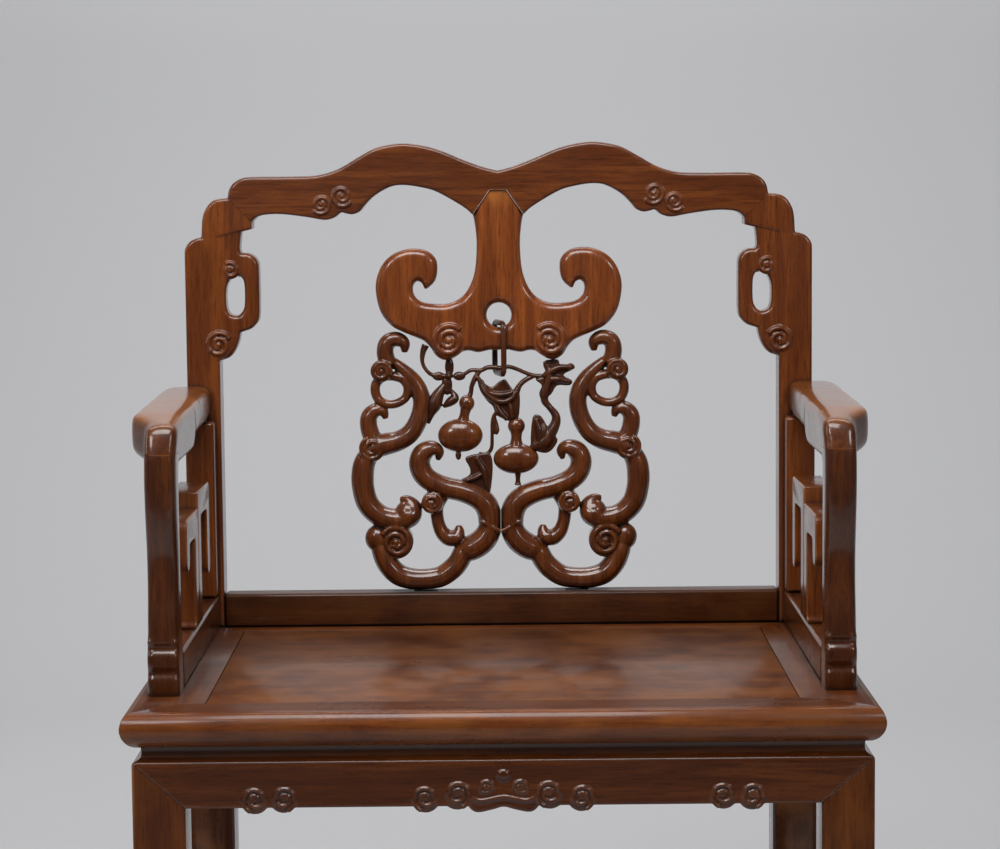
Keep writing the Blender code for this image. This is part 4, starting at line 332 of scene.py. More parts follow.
# Middle, half width, half depth and half height, all but the first as shares of SPLAT_HALF.
GOURDS = (
    ((-0.264, 0.349), 0.150, 0.082, 0.112), ((-0.219, 0.421), 0.052, 0.050, 0.056),
    ((0.105, 0.296), 0.152, 0.082, 0.103), ((0.109, 0.369), 0.058, 0.052, 0.058),
)
PETALS = (
    ((-0.279, 0.305), 0.020, 0.020, 0.034), ((-0.332, 0.503), 0.030, 0.020, 0.064),
    ((-0.404, 0.482), 0.042, 0.022, 0.030), ((-0.267, 0.482), 0.042, 0.022, 0.030),
    ((-0.349, 0.462), 0.036, 0.024, 0.066), ((-0.336, 0.483), 0.026, 0.034, 0.026),
)
NECKS = (
    ((-0.250, 0.370, 0.050), (-0.236, 0.394, 0.033), (-0.222, 0.414, 0.042)),
    ((0.106, 0.320, 0.052), (0.108, 0.342, 0.036), (0.109, 0.360, 0.046)),
)

# Clouds of the front apron: x in metres, height over the apron's lower edge, radius, start, winding.
# The skirt and its lip, in the middle, have x, height and, for the lip, half width.
CLOUDS = (
    (0.0388, 0.0100, 0.0136, 250, -1), (0.0654, 0.0067, 0.0126, 290, 1),
    (0.1845, 0.0074, 0.0124, 250, -1), (0.2085, 0.0067, 0.0126, 290, 1),
)
SMALL_CLOUD = (0.0148, 0.0152, 0.0080, 180, -1)
CLOUD_SKIRT = (
    (-0.028, 0.012), (-0.030, 0.001), (-0.023, -0.0055), (-0.010, -0.0035), (0.0, -0.0010),
    (0.010, -0.0035), (0.023, -0.0055), (0.030, 0.001), (0.028, 0.012), (0.0, 0.016),
)
CLOUD_LIP = (
    (-0.027, 0.0075, 0.0015), (-0.019, 0.0045, 0.0020), (-0.008, 0.0065, 0.0020), (0.0, 0.0078, 0.0020),
    (0.008, 0.0065, 0.0020), (0.019, 0.0045, 0.0020), (0.027, 0.0075, 0.0015),
)
CLOUD_BEAD_HEIGHT = 0.0262
CLOUD_BEAD_SIZES = (0.0056, 0.0024, 0.0050)
LOBE_THICK = 0.0170
LOBE_DEPTH = 0.0087
SKIRT_THICK = 0.0175
SKIRT_DEPTH = 0.0083
CLOUD_EDGE = 1.5 * MM
LOBE_SHARE = 0.98


def length_choice(name, description, value, smallest=0.0):
    """A length that a user may change."""
    return bpy.props.FloatProperty(name=name, description=description, default=value, min=smallest,
                                   unit="LENGTH")


def colour_choice(name, description, value):
    """A colour that a user may change."""
    return bpy.props.FloatVectorProperty(name=name, description=description, subtype="COLOR", size=3,
                                         default=value, min=0, max=1)


class ArmchairSizes(bpy.types.PropertyGroup):
    """Sizes of the finish work that a user may change."""

    carving_grid: length_choice("Carving grid", "Grid that carved pieces are fused on", 0.8 * MM, 0.5 * MM)
    small_carving_grid: length_choice("Vine grid", "Finer grid for the vine", 0.6 * MM, 0.4 * MM)
    edge_round: length_choice("Edge rounding", "Rounding of the frame's edges", 3.4 * MM)
    carving_round: length_choice("Carving rounding", "Rounding of the splat's head", 8.0 * MM)
    relief: length_choice("Relief", "How far the volutes stand out", 2.0 * MM)


class ArmchairColours(bpy.types.PropertyGroup):
    """Colours of the timber and its finish."""

    dark: colour_choice("Dark vein", "Dark streaks of the rosewood", (0.030, 0.0070, 0.0022))
    middle: colour_choice("Heartwood", "Main colour of the rosewood", (0.118, 0.0275, 0.0055))
    light: colour_choice("Light streak", "Orange streaks of the rosewood", (0.225, 0.0590, 0.0100))
    worn: colour_choice("Worn edge", "Edges rubbed lighter by use", (0.40, 0.140, 0.030))
    # Old polish in the hollows, also used as painted shade in corners, grooves and joints.
    polish_and_shade: colour_choice("Old polish", "Dark wax left in the hollows", (0.010, 0.0035, 0.0018))
    backdrop: colour_choice("Backdrop", "Floor and backdrop", (0.52, 0.52, 0.53))


def sizes():
    """The sizes that the sidebar shows."""
    return bpy.context.scene.armchair_sizes


def colours():
    """The colours that the sidebar shows."""
    return bpy.context.scene.armchair_colours


# Working on meshes

def only(*items):
    """Selects these objects and nothing else, the first one active."""
    bpy.ops.object.select_all(action="DESELECT")
    for item in items:
        item.select_set(True)
    bpy.context.view_layer.objects.active = items[0]


def apply(item, kind, **settings):
    """Adds a modifier, sets it and applies it."""
    modifier = item.modifiers.new(kind.title(), kind)
    for name, value in settings.items():
        setattr(modifier, name, value)
    only(item)
    bpy.ops.object.modifier_apply(modifier=modifier.name)
    return item


def in_edit(item, work):
    """Runs some work on all of a mesh in edit mode."""
    only(item)
    bpy.ops.object.mode_set(mode="EDIT")
    bpy.ops.mesh.select_all(action="SELECT")
    work()
    bpy.ops.object.mode_set(mode="OBJECT")
    return item


def clean(item):
    """Merges doubled points and turns all faces outwards."""
    def work():
        bpy.ops.mesh.remove_doubles(threshold=DOUBLED_WITHIN)
        bpy.ops.mesh.normals_make_consistent(inside=False)
    return in_edit(item, work)


def slice_off(item, point, normal):
    """Cuts a piece along a plane and drops the side that the normal points to."""
    def work():
        bpy.ops.mesh.bisect(plane_co=point, plane_no=normal, use_fill=True, clear_outer=True,
                            threshold=CUT_WITHIN)
    return in_edit(item, work)


def carve_off(item, cutter):
    """Cuts one piece out of another and drops the cutter."""
    apply(item, "BOOLEAN", operation="DIFFERENCE", object=cutter, solver="EXACT")
    bpy.data.objects.remove(cutter)
    return item


def shift(item, chosen, move):
    """Moves the points that a test chooses."""
    only(item)
    bpy.ops.object.mode_set(mode="EDIT")
    bpy.ops.mesh.select_mode(type="VERT")
    bpy.ops.mesh.select_all(action="DESELECT")
    bpy.ops.object.mode_set(mode="OBJECT")
    for vertex in item.data.vertices:
        vertex.select = chosen(vertex.co)
    bpy.ops.object.mode_set(mode="EDIT")
    bpy.ops.transform.translate(value=move)
    bpy.ops.object.mode_set(mode="OBJECT")
    return item


def block(name, low, high):
    """A block between two corners, to be shaped further."""
    middle = [(a + b) / 2 for a, b in zip(low, high)]
    bpy.ops.object.select_all(action="DESELECT")
    bpy.ops.mesh.primitive_cube_add(size=1, location=middle)
    item = bpy.context.object
    item.name = name
    item.scale = [b - a for a, b in zip(low, high)]
    bpy.ops.object.transform_apply(location=True, rotation=True, scale=True)
    return item


def ball(name, middle, half_sizes):
    """A rounded lump of wood."""
    bpy.ops.object.select_all(action="DESELECT")
    bpy.ops.mesh.primitive_uv_sphere_add(segments=32, ring_count=20, radius=1, location=middle)
    item = bpy.context.object
    item.name = name
    item.scale = half_sizes
    bpy.ops.object.transform_apply(location=True, rotation=True, scale=True)
    return item


def mesh_from_curve(name, curve, matrix):
    """Turns a curve into a mesh with its place in its points."""
    item = bpy.data.objects.new(name, curve)
    bpy.context.scene.collection.objects.link(item)
    item.matrix_world = matrix
    only(item)
    bpy.ops.object.convert(target="MESH")
    item = bpy.context.object
    bpy.ops.object.transform_apply(location=True, rotation=True, scale=True)
    return clean(item)


FACING_FRONT = Matrix.Rotation(math.radians(90), 4, "X")
FACING_SIDE = Matrix(((0, 0, 1, 0), (1, 0, 0, 0), (0, 1, 0, 0), (0, 0, 0, 1)))


def board(name, outlines, thickness, matrix, edge=0.0, steps=3):
    """A piece sawn from board to an outline with holes, its edges rounded."""
    curve = bpy.data.curves.new(name, "CURVE")
    curve.dimensions = "2D"
    curve.fill_mode = "BOTH"
    curve.extrude = thickness / 2 - edge
    curve.bevel_depth = edge
    curve.bevel_resolution = steps
    curve.offset = -edge
    for outline in outlines:
        spline = curve.splines.new("POLY")
        spline.points.add(len(outline) - 1)
        for point, (across, up) in zip(spline.points, outline):
            point.co = (across, up, 0, 1)
        spline.use_cyclic_u = True
    return mesh_from_curve(name, curve, matrix)


def band(name, stations, depth_scale=1.0, middle_y=SPLAT_MIDDLE):
    """A round, tapering band of carving along stations of x, z and half width."""
    curve = bpy.data.curves.new(name, "CURVE")
    curve.dimensions = "3D"
    curve.bevel_depth = MM
    curve.bevel_resolution = 6
    curve.use_fill_caps = True
    spline = curve.splines.new("POLY")
    spline.points.add(len(stations) - 1)
    for point, (x, z, half) in zip(spline.points, stations):
        point.co = (x, 0, z, 1)
        point.radius = half / MM
    item = mesh_from_curve(name, curve, Matrix.Identity(4))
    item.scale.y = depth_scale
    item.location.y = middle_y
    only(item)
    bpy.ops.object.transform_apply(location=True, rotation=True, scale=True)
    return item


def smooth_line(points, steps=6, closed=False):
    """A smooth line through points of any number of values."""
    count = len(points)
    line = []
    for span in range(count if closed else count - 1):
        if closed:
            a, b, c, d = (points[(span + k) % count] for k in (-1, 0, 1, 2))
        else:
            b, c = points[span], points[span + 1]
            a, d = points[max(span - 1, 0)], points[min(span + 2, count - 1)]
        for step in range(steps):
            t = step / steps
            line.append(tuple(
                0.5 * (2 * q + (r - p) * t + (2 * p - 5 * q + 4 * r - s) * t ** 2
                       + (3 * q - p - 3 * r + s) * t ** 3)
                for p, q, r, s in zip(a, b, c, d)))
    if not closed:
        line.append(tuple(points[-1]))
    return line


def round_outline(x, z, radius, count=48):
    """Points of a circle."""
    return [(x + radius * math.cos(2 * math.pi * k / count), z + radius * math.sin(2 * math.pi * k / count))
            for k in range(count)]


def facing(y):
    """Stands a board upright across the chair at a distance from front to back."""
    return Matrix.Translation((0, y, 0)) @ FACING_FRONT


def volute(name, side, x, z, radius, front_y, start, winding, turns, proud=None, deep=BED_DEEP):
    """A carved volute: a raised round with a spiral cord on it and a bead, mirrored on the left."""
    x = side * x
    start = start if side == RIGHT else 180 - start
    proud = sizes().relief if proud is None else proud
    cord = radius * CORD_SHARE
    stations = []
    for step in range(VOLUTE_STEPS + 1):
        t = step / VOLUTE_STEPS
        angle = math.radians(start) + side * winding * t * turns * 2 * math.pi
        reach = (radius - cord) * (1 - t) + radius * SPIRAL_END_SHARE * t
        half = cord * (1 - CORD_TAPER_SHARE * t)
        stations.append((x + reach * math.cos(angle), z + reach * math.sin(angle), half))
    cord_y = front_y - proud + cord
    wound = band(name, stations, middle_y=cord_y)
    bed_front = front_y - proud + cord * BED_DROP_SHARE
    bed = board(name + "_bed", [round_outline(x, z, radius * BED_SHARE)], deep, facing(bed_front + deep / 2),
                min(BED_EDGE, deep / 4))
    bead = radius * BEAD_SHARE
    eye = ball(name + "_eye", (x, cord_y, z), (bead, cord, bead))
    return [wound, bed, eye]


def fuse(name, pieces, grid, rounds=3, keep=1.0):
    """Fuses overlapping pieces into one carved skin on a fine grid, then rubs it smooth."""
    only(*pieces)
    bpy.ops.object.join()
    item = bpy.context.object
    item.name = name
    item.data.name = name
    apply(item, "REMESH", mode="VOXEL", voxel_size=grid, adaptivity=0.0)
    apply(item, "SMOOTH", factor=0.5, iterations=rounds)
    if keep < 1:
        apply(item, "DECIMATE", decimate_type="COLLAPSE", ratio=keep)
    return item


def copied_solid(node, name):
    """A copy of a solid, to be carved further."""
    item = bpy.data.objects.new(name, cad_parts[node].data.copy())
    bpy.context.scene.collection.objects.link(item)
    return item


def softened(node, name, width=ARRIS, segments=2):
    """A copy of a solid with its arrises rounded once more."""
    item = copied_solid(node, name)

    def work():
        bpy.ops.mesh.remove_doubles(threshold=DOUBLED_WITHIN)
        bpy.ops.mesh.dissolve_limited(angle_limit=FLAT_WITHIN)
    in_edit(item, work)
    apply(item, "BEVEL", width=width, segments=segments, limit_method="ANGLE",
          angle_limit=ROUNDED_EDGE, harden_normals=False)
    return item


def finish_piece(item, wood, slot, *nodes):
    """Shades a piece, gives it its timber and puts it in place of its solids."""
    item.data.materials.clear()
    item.data.materials.append(bpy.data.materials[wood + "_rosewood"])
    only(item)
    bpy.ops.object.shade_smooth_by_angle(angle=HARD_EDGE)
    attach(item, "root")
    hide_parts(*nodes)
    return item


def round_solid(node, wood, width=ARRIS, segments=2, slot="rosewood_frame"):
    """Rounds a copy of a plain solid and finishes it."""
    return finish_piece(softened(node, node + "_rounded", width, segments), wood, slot, node)


# Timber and finish

def node_group(name, inputs, outputs):
    """A new shader group with named sockets."""
    group = bpy.data.node_groups.new(name, "ShaderNodeTree")
    for label, kind in inputs:
        group.interface.new_socket(name=label, in_out="INPUT", socket_type=kind)
    for label, kind in outputs:
        group.interface.new_socket(name=label, in_out="OUTPUT", socket_type=kind)
    return group, group.nodes.new("NodeGroupInput"), group.nodes.new("NodeGroupOutput")


def noise(tree, vector, scale, detail, roughness=0.5, distortion=0.0):
    """Cloudy values over a vector."""
    node = tree.nodes.new("ShaderNodeTexNoise")
    node.inputs["Scale"].default_value = scale
    node.inputs["Detail"].default_value = detail
    node.inputs["Roughness"].default_value = roughness
    node.inputs["Distortion"].default_value = distortion
    tree.links.new(vector, node.inputs["Vector"])
    return node.outputs["Fac"]


def fit_range(tree, value, low, high, new_low=0.0, new_high=1.0, smooth=True):
    """A value stretched from one range to another."""
    node = tree.nodes.new("ShaderNodeMapRange")
    node.interpolation_type = "SMOOTHSTEP" if smooth else "LINEAR"
    tree.links.new(value, node.inputs["Value"])
    for label, number in (("From Min", low), ("From Max", high), ("To Min", new_low), ("To Max", new_high)):
        node.inputs[label].default_value = number
    return node.outputs["Result"]


def arithmetic(tree, kind, first, second):
    """A sum, product or the like of two values or sockets."""
    node = tree.nodes.new("ShaderNodeMath")
    node.operation = kind
    for socket, value in zip(node.inputs, (first, second)):
        if isinstance(value, (int, float)):
            socket.default_value = value
        else:
            tree.links.new(value, socket)
    return node.outputs["Value"]


def blend_colour(tree, factor, first, second):
    """One colour laid over another by a factor."""
    node = tree.nodes.new("ShaderNodeMix")
    node.data_type = "RGBA"
    for socket, value in ((node.inputs[0], factor), (node.inputs[6], first), (node.inputs[7], second)):
        if isinstance(value, (int, float)):
            socket.default_value = value
        elif isinstance(value, bpy.types.NodeSocket):
            tree.links.new(value, socket)
        else:
            socket.default_value = (*value[:3], 1)
    return node.outputs[2]


def rosewood_figure_group():
    """Streaks, dark veins and pores of the timber, along the X of the vector it is given."""
    group, source, target = node_group(
        "rosewood_figure",
        [("Vector", "NodeSocketVector"), ("Dark", "NodeSocketColor"), ("Middle", "NodeSocketColor"),
         ("Light", "NodeSocketColor")],
        [("Colour", "NodeSocketColor"), ("Grain", "NodeSocketFloat")])
    vector = source.outputs["Vector"]
    broad = noise(group, vector, scale=7, detail=4, roughness=0.55, distortion=0.6)
    streak = noise(group, vector, scale=38, detail=5, roughness=0.60, distortion=0.3)
    pores = noise(group, vector, scale=240, detail=3, roughness=0.65)
    light = arithmetic(group, "MULTIPLY", fit_range(group, broad, 0.38, 0.72), 0.80)
    colour = blend_colour(group, light, source.outputs["Middle"], source.outputs["Light"])
    vein = fit_range(group, streak, 0.52, 0.34)
    colour = blend_colour(group, arithmetic(group, "MULTIPLY", vein, 0.50), colour,
                          source.outputs["Dark"])
    fine = fit_range(group, pores, 0.42, 0.60)
    dim = fit_range(group, fine, 0.0, 1.0, 0.86, 1.05, False)
    tint = group.nodes.new("ShaderNodeVectorMath")
    tint.operation = "SCALE"
    group.links.new(colour, tint.inputs[0])
    group.links.new(dim, tint.inputs["Scale"])
    group.links.new(tint.outputs["Vector"], target.inputs["Colour"])
    group.links.new(fine, target.inputs["Grain"])
    return group


def handling_group():
    """Where use has rubbed the edges light, where old polish and painted shade darken the hollows, and the
    smears.
    """
    group, source, target = node_group(
        "handling_marks",
        [("Vector", "NodeSocketVector"), ("Curvature", "NodeSocketFloat"), ("Wear", "NodeSocketFloat"),
         ("Hollow_polish_and_shade", "NodeSocketFloat")],
        [("Worn", "NodeSocketFloat"), ("Soiled_and_shaded", "NodeSocketFloat"), ("Smears", "NodeSocketFloat")])
    vector = source.outputs["Vector"]
    patches = noise(group, vector, scale=14, detail=4, roughness=0.6)
    smears = noise(group, vector, scale=6, detail=5, roughness=0.6, distortion=0.5)
    patchy = fit_range(group, patches, 0.35, 0.65)
    raised = fit_range(group, source.outputs["Curvature"], 0.515, 0.60)
    # Hollows are darkened for old polish and painted shade.
    hollow = fit_range(group, source.outputs["Curvature"], 0.492, 0.440)
    worn = arithmetic(group, "MULTIPLY", raised, patchy)
    group.links.new(arithmetic(group, "MULTIPLY", worn, source.outputs["Wear"]), target.inputs["Worn"])
    group.links.new(arithmetic(group, "MULTIPLY", hollow, source.outputs["Hollow_polish_and_shade"]), target.inputs["Soiled_and_shaded"])
    group.links.new(smears, target.inputs["Smears"])
    return group


GRAIN_SCALES = {"X": (1, 14, 14), "Y": (14, 1, 14), "Z": (14, 14, 1)}
# Grain axis, tone, wear, old polish and painted shade in hollows and corners, roughness, offset of the
# figure, weight of the polish, and the height above which hands have rubbed the wood light. The tones also
# paint light and shade: the head is painted lighter as if lit, the front seat rail lighter as a painted
# sheen, and the back rail, stumps, legs and front and back aprons darker as painted shade.
FINISHES = {
    "upright": ("Z", 0.95, 0.60, 0.90, 0.32, 0.3, 0.70),
    "crossing": ("X", 0.80, 0.60, 0.90, 0.32, 1.7, 0.70),
    "sideways": ("Y", 0.62, 0.55, 0.90, 0.32, 2.9, 0.70),
    "base": ("X", 0.52, 0.45, 1.00, 0.32, 2.3, 0.70),
    "leg": ("Z", 0.50, 0.45, 0.85, 0.32, 1.1, 0.70),
    "back_rail": ("X", 0.34, 0.35, 0.85, 0.40, 0.9, 0.35),
    "arm": ("Y", 0.62, 0.70, 0.80, 0.32, 3.7, 0.80, 0.727),
    "stump": ("Z", 0.44, 0.60, 0.90, 0.30, 5.9, 0.90),
    "seat": ("X", 0.58, 0.35, 0.70, 0.34, 4.1, 0.22),
    "seat_front": ("X", 0.92, 0.40, 0.70, 0.30, 4.7, 0.40),
    "seat_end": ("Y", 0.55, 0.35, 0.70, 0.34, 5.3, 0.22),
    "head": ("Z", 1.35, 0.80, 0.95, 0.28, 6.5, 0.90),
    "scroll": ("Z", 0.74, 0.85, 1.00, 0.28, 8.1, 1.00),
    "gourd": ("Z", 0.80, 0.60, 0.95, 0.25, 7.1, 1.00),
    "vine": ("Z", 0.42, 0.60, 0.95, 0.34, 7.7, 0.70),
    "plain": ("Y", 0.90, 0.10, 0.40, 0.60, 8.9, 0.00),
}
RUBBED_BAND = 9 * MM
# How far the painted corner shade reaches.
SHADE_REACH = 8 * MM
GRAIN_DEPTH = 0.3 * MM
GRAIN_STRENGTH = 0.12
WOOD_SHINE = 0.20
POLISH_ROUGHNESS = 0.13
POLISH_IOR = 1.45


def rosewood(name, grain, tone, wear, polish_and_shade, roughness, offset, coat, rubbed_above=None):
    """Polished rosewood with its grain along one axis."""
    material = bpy.data.materials.new(name)
    material.use_nodes = True
    tree = material.node_tree
    shader = tree.nodes["Principled BSDF"]
    place = tree.nodes.new("ShaderNodeTexCoord").outputs["Object"]
    turned = tree.nodes.new("ShaderNodeMapping")
    turned.inputs["Scale"].default_value = GRAIN_SCALES[grain]
    turned.inputs["Location"].default_value = (offset, offset * 0.7, offset * 1.3)
    tree.links.new(place, turned.inputs["Vector"])
    figure = tree.nodes.new("ShaderNodeGroup")
    figure.node_tree = bpy.data.node_groups["rosewood_figure"]
    tree.links.new(turned.outputs["Vector"], figure.inputs["Vector"])
    # The tone scales the timber's colours, and on some pieces it paints light and shade.
    for label, colour in (("Dark", colours().dark), ("Middle", colours().middle), ("Light", colours().light)):
        figure.inputs[label].default_value = (*[min(1, channel * tone) for channel in colour], 1)
    marks = tree.nodes.new("ShaderNodeGroup")
    marks.node_tree = bpy.data.node_groups["handling_marks"]
    tree.links.new(place, marks.inputs["Vector"])
    shape = tree.nodes.new("ShaderNodeNewGeometry")
    tree.links.new(shape.outputs["Pointiness"], marks.inputs["Curvature"])
    marks.inputs["Wear"].default_value = wear
    marks.inputs["Hollow_polish_and_shade"].default_value = polish_and_shade
    colour = blend_colour(tree, marks.outputs["Worn"], figure.outputs["Colour"], colours().worn)
    if rubbed_above is not None:
        height = tree.nodes.new("ShaderNodeSeparateXYZ")
        tree.links.new(place, height.inputs["Vector"])
        rubbed = fit_range(tree, height.outputs["Z"], rubbed_above, rubbed_above + RUBBED_BAND)
        patches = fit_range(tree, marks.outputs["Smears"], 0.30, 0.70, 0.25, 0.60)
        colour = blend_colour(tree, arithmetic(tree, "MULTIPLY", rubbed, patches), colour, colours().worn)
    # Painted shade: an ambient occlusion probe darkens corners, grooves and joints towards the old polish
    # colour.
    shade_probe = tree.nodes.new("ShaderNodeAmbientOcclusion")
    shade_probe.samples = 6
    shade_probe.inputs["Distance"].default_value = SHADE_REACH
    # This corner mask is painted shade, not polish.
    corner = arithmetic(tree, "MULTIPLY", fit_range(tree, shade_probe.outputs["AO"], 0.82, 0.38), polish_and_shade)
    soiled_and_shaded = arithmetic(tree, "MAXIMUM", marks.outputs["Soiled_and_shaded"], corner)
    colour = blend_colour(tree, soiled_and_shaded, colour, colours().polish_and_shade)
    tree.links.new(colour, shader.inputs["Base Color"])
    rough = fit_range(tree, marks.outputs["Smears"], 0.35, 0.70, roughness * 0.8, roughness * 1.45, False)
    rough = arithmetic(tree, "ADD", rough, arithmetic(tree, "MULTIPLY", soiled_and_shaded, 0.25))
    tree.links.new(rough, shader.inputs["Roughness"])
    bump = tree.nodes.new("ShaderNodeBump")
    bump.inputs["Strength"].default_value = GRAIN_STRENGTH
    bump.inputs["Distance"].default_value = GRAIN_DEPTH
    tree.links.new(figure.outputs["Grain"], bump.inputs["Height"])
    tree.links.new(bump.outputs["Normal"], shader.inputs["Normal"])
    shader.inputs["Coat Weight"].default_value = coat
    shader.inputs["Coat Roughness"].default_value = POLISH_ROUGHNESS
    shader.inputs["Coat IOR"].default_value = POLISH_IOR
    shader.inputs["Specular IOR Level"].default_value = WOOD_SHINE
    return material


class ARMCHAIR_OT_timber(bpy.types.Operator):
    """Mix the rosewood finishes"""

    bl_idname = "armchair.timber"
    bl_label = "Rosewood finishes"

    def execute(self, context):
        rosewood_figure_group()
        handling_group()
        for name, values in FINISHES.items():
            rosewood(name + "_rosewood", *values)
        return {"FINISHED"}


# Seat

def seat_nose(width):
    """Section of a seat rail: distance in from the edge, and height."""
    nose = smooth_line([
        (12.0, 0.0), (10.0, 0.0), (5.5, 3.2), (1.6, 9.0), (0.0, 16.0), (1.3, 23.0), (4.6, 28.4),
        (8.5, 30.0), (10.0, 30.0)], 4)
    outline = [(inwards * MM, SEAT_UNDER + height * MM) for inwards, height in nose]
    return outline + [(width - GAP, SEAT_TOP), (width - GAP, SEAT_UNDER)]


def long_rail_space(end):
    """The space of a long seat rail and its mitres, which the side rails leave free."""
    width = LONG_RAIL_WIDTHS[end]
    corner = (SEAT_HALF + RAIL_OVERRUN, end * (SEAT_BACK - GAP / 2 + RAIL_OVERRUN))
    inner = (SEAT_HALF - width, end * (SEAT_BACK - width - GAP))
    outline = [(-corner[0], corner[1]), (-inner[0], inner[1]), inner, corner]
    return board("long_rail_space", [outline], CARVE_DEPTH, Matrix.Translation((0, 0, SEAT_TOP)))


def finish_rail(rail, word, wood):
    """Eases the arrises of a seat rail and puts it in its place."""
    apply(rail, "BEVEL", width=RAIL_ARRIS, segments=2, limit_method="ANGLE", angle_limit=RAIL_EDGE)
    return finish_piece(rail, wood, "rosewood_seat", "seat_rail_" + word)


class ARMCHAIR_OT_seat(bpy.types.Operator):
    """Build the mitred seat frame, its panel and battens"""

    bl_idname = "armchair.seat"
    bl_label = "Seat"

    def execute(self, context):
        for end, wood in ((FRONT, "seat_front"), (BACK, "seat")):
            outline = [(end * (SEAT_BACK - inwards), z) for inwards, z in seat_nose(LONG_RAIL_WIDTHS[end])]
            rail = board("seat_rail_" + ENDS[end] + "_moulded", [outline], 2 * SEAT_HALF, FACING_SIDE)
            for side in (LEFT, RIGHT):
                slice_off(rail, (side * (SEAT_HALF - GAP / 2), end * SEAT_BACK, 0), (side, -end, 0))
            finish_rail(rail, ENDS[end], wood)
        for side in (LEFT, RIGHT):
            outline = [(side * (SEAT_HALF - inwards), z) for inwards, z in seat_nose(SIDE_RAIL_WIDTH)]
            rail = board("seat_rail_" + SIDES[side] + "_moulded", [outline], 2 * SEAT_BACK, FACING_FRONT)
            for end in (FRONT, BACK):
                carve_off(rail, long_rail_space(end))
            finish_rail(rail, SIDES[side], "seat_end")
        panel_half = SEAT_HALF - SIDE_RAIL_WIDTH - GAP
        low = (-panel_half, -SEAT_BACK + LONG_RAIL_WIDTHS[FRONT] + GAP, SEAT_TOP - PANEL_THICK)
        high = (panel_half, SEAT_BACK - LONG_RAIL_WIDTHS[BACK] - GAP, SEAT_TOP)
        panel = block("seat_panel_polished", low, high)
        apply(panel, "BEVEL", width=PANEL_ARRIS, segments=2, limit_method="ANGLE")
        finish_piece(panel, "seat", "rosewood_seat", "seat_panel")
        for side in (LEFT, RIGHT):
            node = "seat_batten_" + SIDES[side]
            finish_piece(softened(node, node + "_planed"), "plain", "rosewood_unpolished", node)
        return {"FINISHED"}


# Base

def apron_section(outer):
    """Section of an apron with its hollow waist: distance from the middle, and height."""
    hollow = smooth_line([
        (0.0, 8.0), (0.0, 30.0), (0.0, 35.5), (1.2, 39.0), (4.6, 40.6), (7.0, 42.6), (7.9, 46.0),
        (7.6, 50.0), (6.6, 52.0)], 4)
    outline = [(outer - inwards * MM, APRON_BOTTOM + height * MM) for inwards, height in hollow]
    inner = outer - APRON_THICK
    return [(outer, APRON_BOTTOM)] + outline + [(inner, APRON_TOP), (inner, APRON_BOTTOM)]


def cut_apron_ends(item, direction, across):
    """Mitres an apron, across the chair or along its side, into its neighbours and onto the legs."""
    slope = LEG_SHOULDER / LEG_SIZE
    along, out = (LEG_OUTER_X, LEG_OUTER_Y) if across else (LEG_OUTER_Y, LEG_OUTER_X)
    for end in (-1, 1):
        mitre = ((end * (along - GAP / 2), direction * out, 0), (end, -direction, 0))
        shoulder = ((end * (along - LEG_SIZE), 0, APRON_BOTTOM), (end * slope, 0, -1))
        for cut in (mitre, shoulder):
            place, normal = cut if across else [(y, x, z) for x, y, z in cut]
            slice_off(item, place, normal)
    return item


def cloud_carving():
    """Lobes and volutes of the clouds that hang from the front apron."""
    face = -LEG_OUTER_Y
    base = APRON_BOTTOM
    pieces = []
    for side in (LEFT, RIGHT):
        for x, up, radius, start, winding in CLOUDS:
            pieces += volute("cloud", side, x, base + up, radius, face, start, winding, turns=1.6,
                             proud=1.9 * MM)
            lobe = round_outline(side * x, base + up, radius * LOBE_SHARE, count=28)
            pieces.append(board("cloud_lobe", [lobe], LOBE_THICK, facing(face + LOBE_DEPTH), CLOUD_EDGE))
        x, up, radius, start, winding = SMALL_CLOUD
        pieces += volute("small_cloud", side, x, base + up, radius, face, start, winding, turns=1.4,
                         proud=1.8 * MM, deep=5 * MM)
    skirt = smooth_line([(x, base + up) for x, up in CLOUD_SKIRT], 4, True)
    pieces.append(board("cloud_skirt", [skirt], SKIRT_THICK, facing(face + SKIRT_DEPTH), CLOUD_EDGE))
    lip = smooth_line([(x, base + up, half) for x, up, half in CLOUD_LIP], 4)
    pieces.append(band("cloud_lip", lip, middle_y=face))
    pieces.append(ball("cloud_bead", (0, face, base + CLOUD_BEAD_HEIGHT), CLOUD_BEAD_SIZES))
    return pieces


class ARMCHAIR_OT_aprons(bpy.types.Operator):
    """Build the waisted aprons, with clouds carved on the front one"""

    bl_idname = "armchair.aprons"
    bl_label = "Aprons"

    def execute(self, context):
        for direction in (FRONT, BACK):
            name = "apron_" + ENDS[direction]
            outline = [(direction * distance, z) for distance, z in apron_section(LEG_OUTER_Y)]
            apron = board(name + "_waisted", [outline], 2 * LEG_OUTER_X, FACING_SIDE)
            cut_apron_ends(apron, direction, across=True)
            if direction == FRONT:
                apron = fuse(name + "_carved", [apron, *cloud_carving()], APRON_GRID, rounds=2, keep=0.5)
            finish_piece(apron, "base", "rosewood_frame", name)
        for direction in (LEFT, RIGHT):
            name = "apron_" + SIDES[direction]
            outline = [(direction * distance, z) for distance, z in apron_section(LEG_OUTER_X)]
            apron = board(name + "_waisted", [outline], 2 * LEG_OUTER_Y, FACING_FRONT)
            cut_apron_ends(apron, direction, across=False)
            finish_piece(apron, "sideways", "rosewood_frame", name)
        return {"FINISHED"}


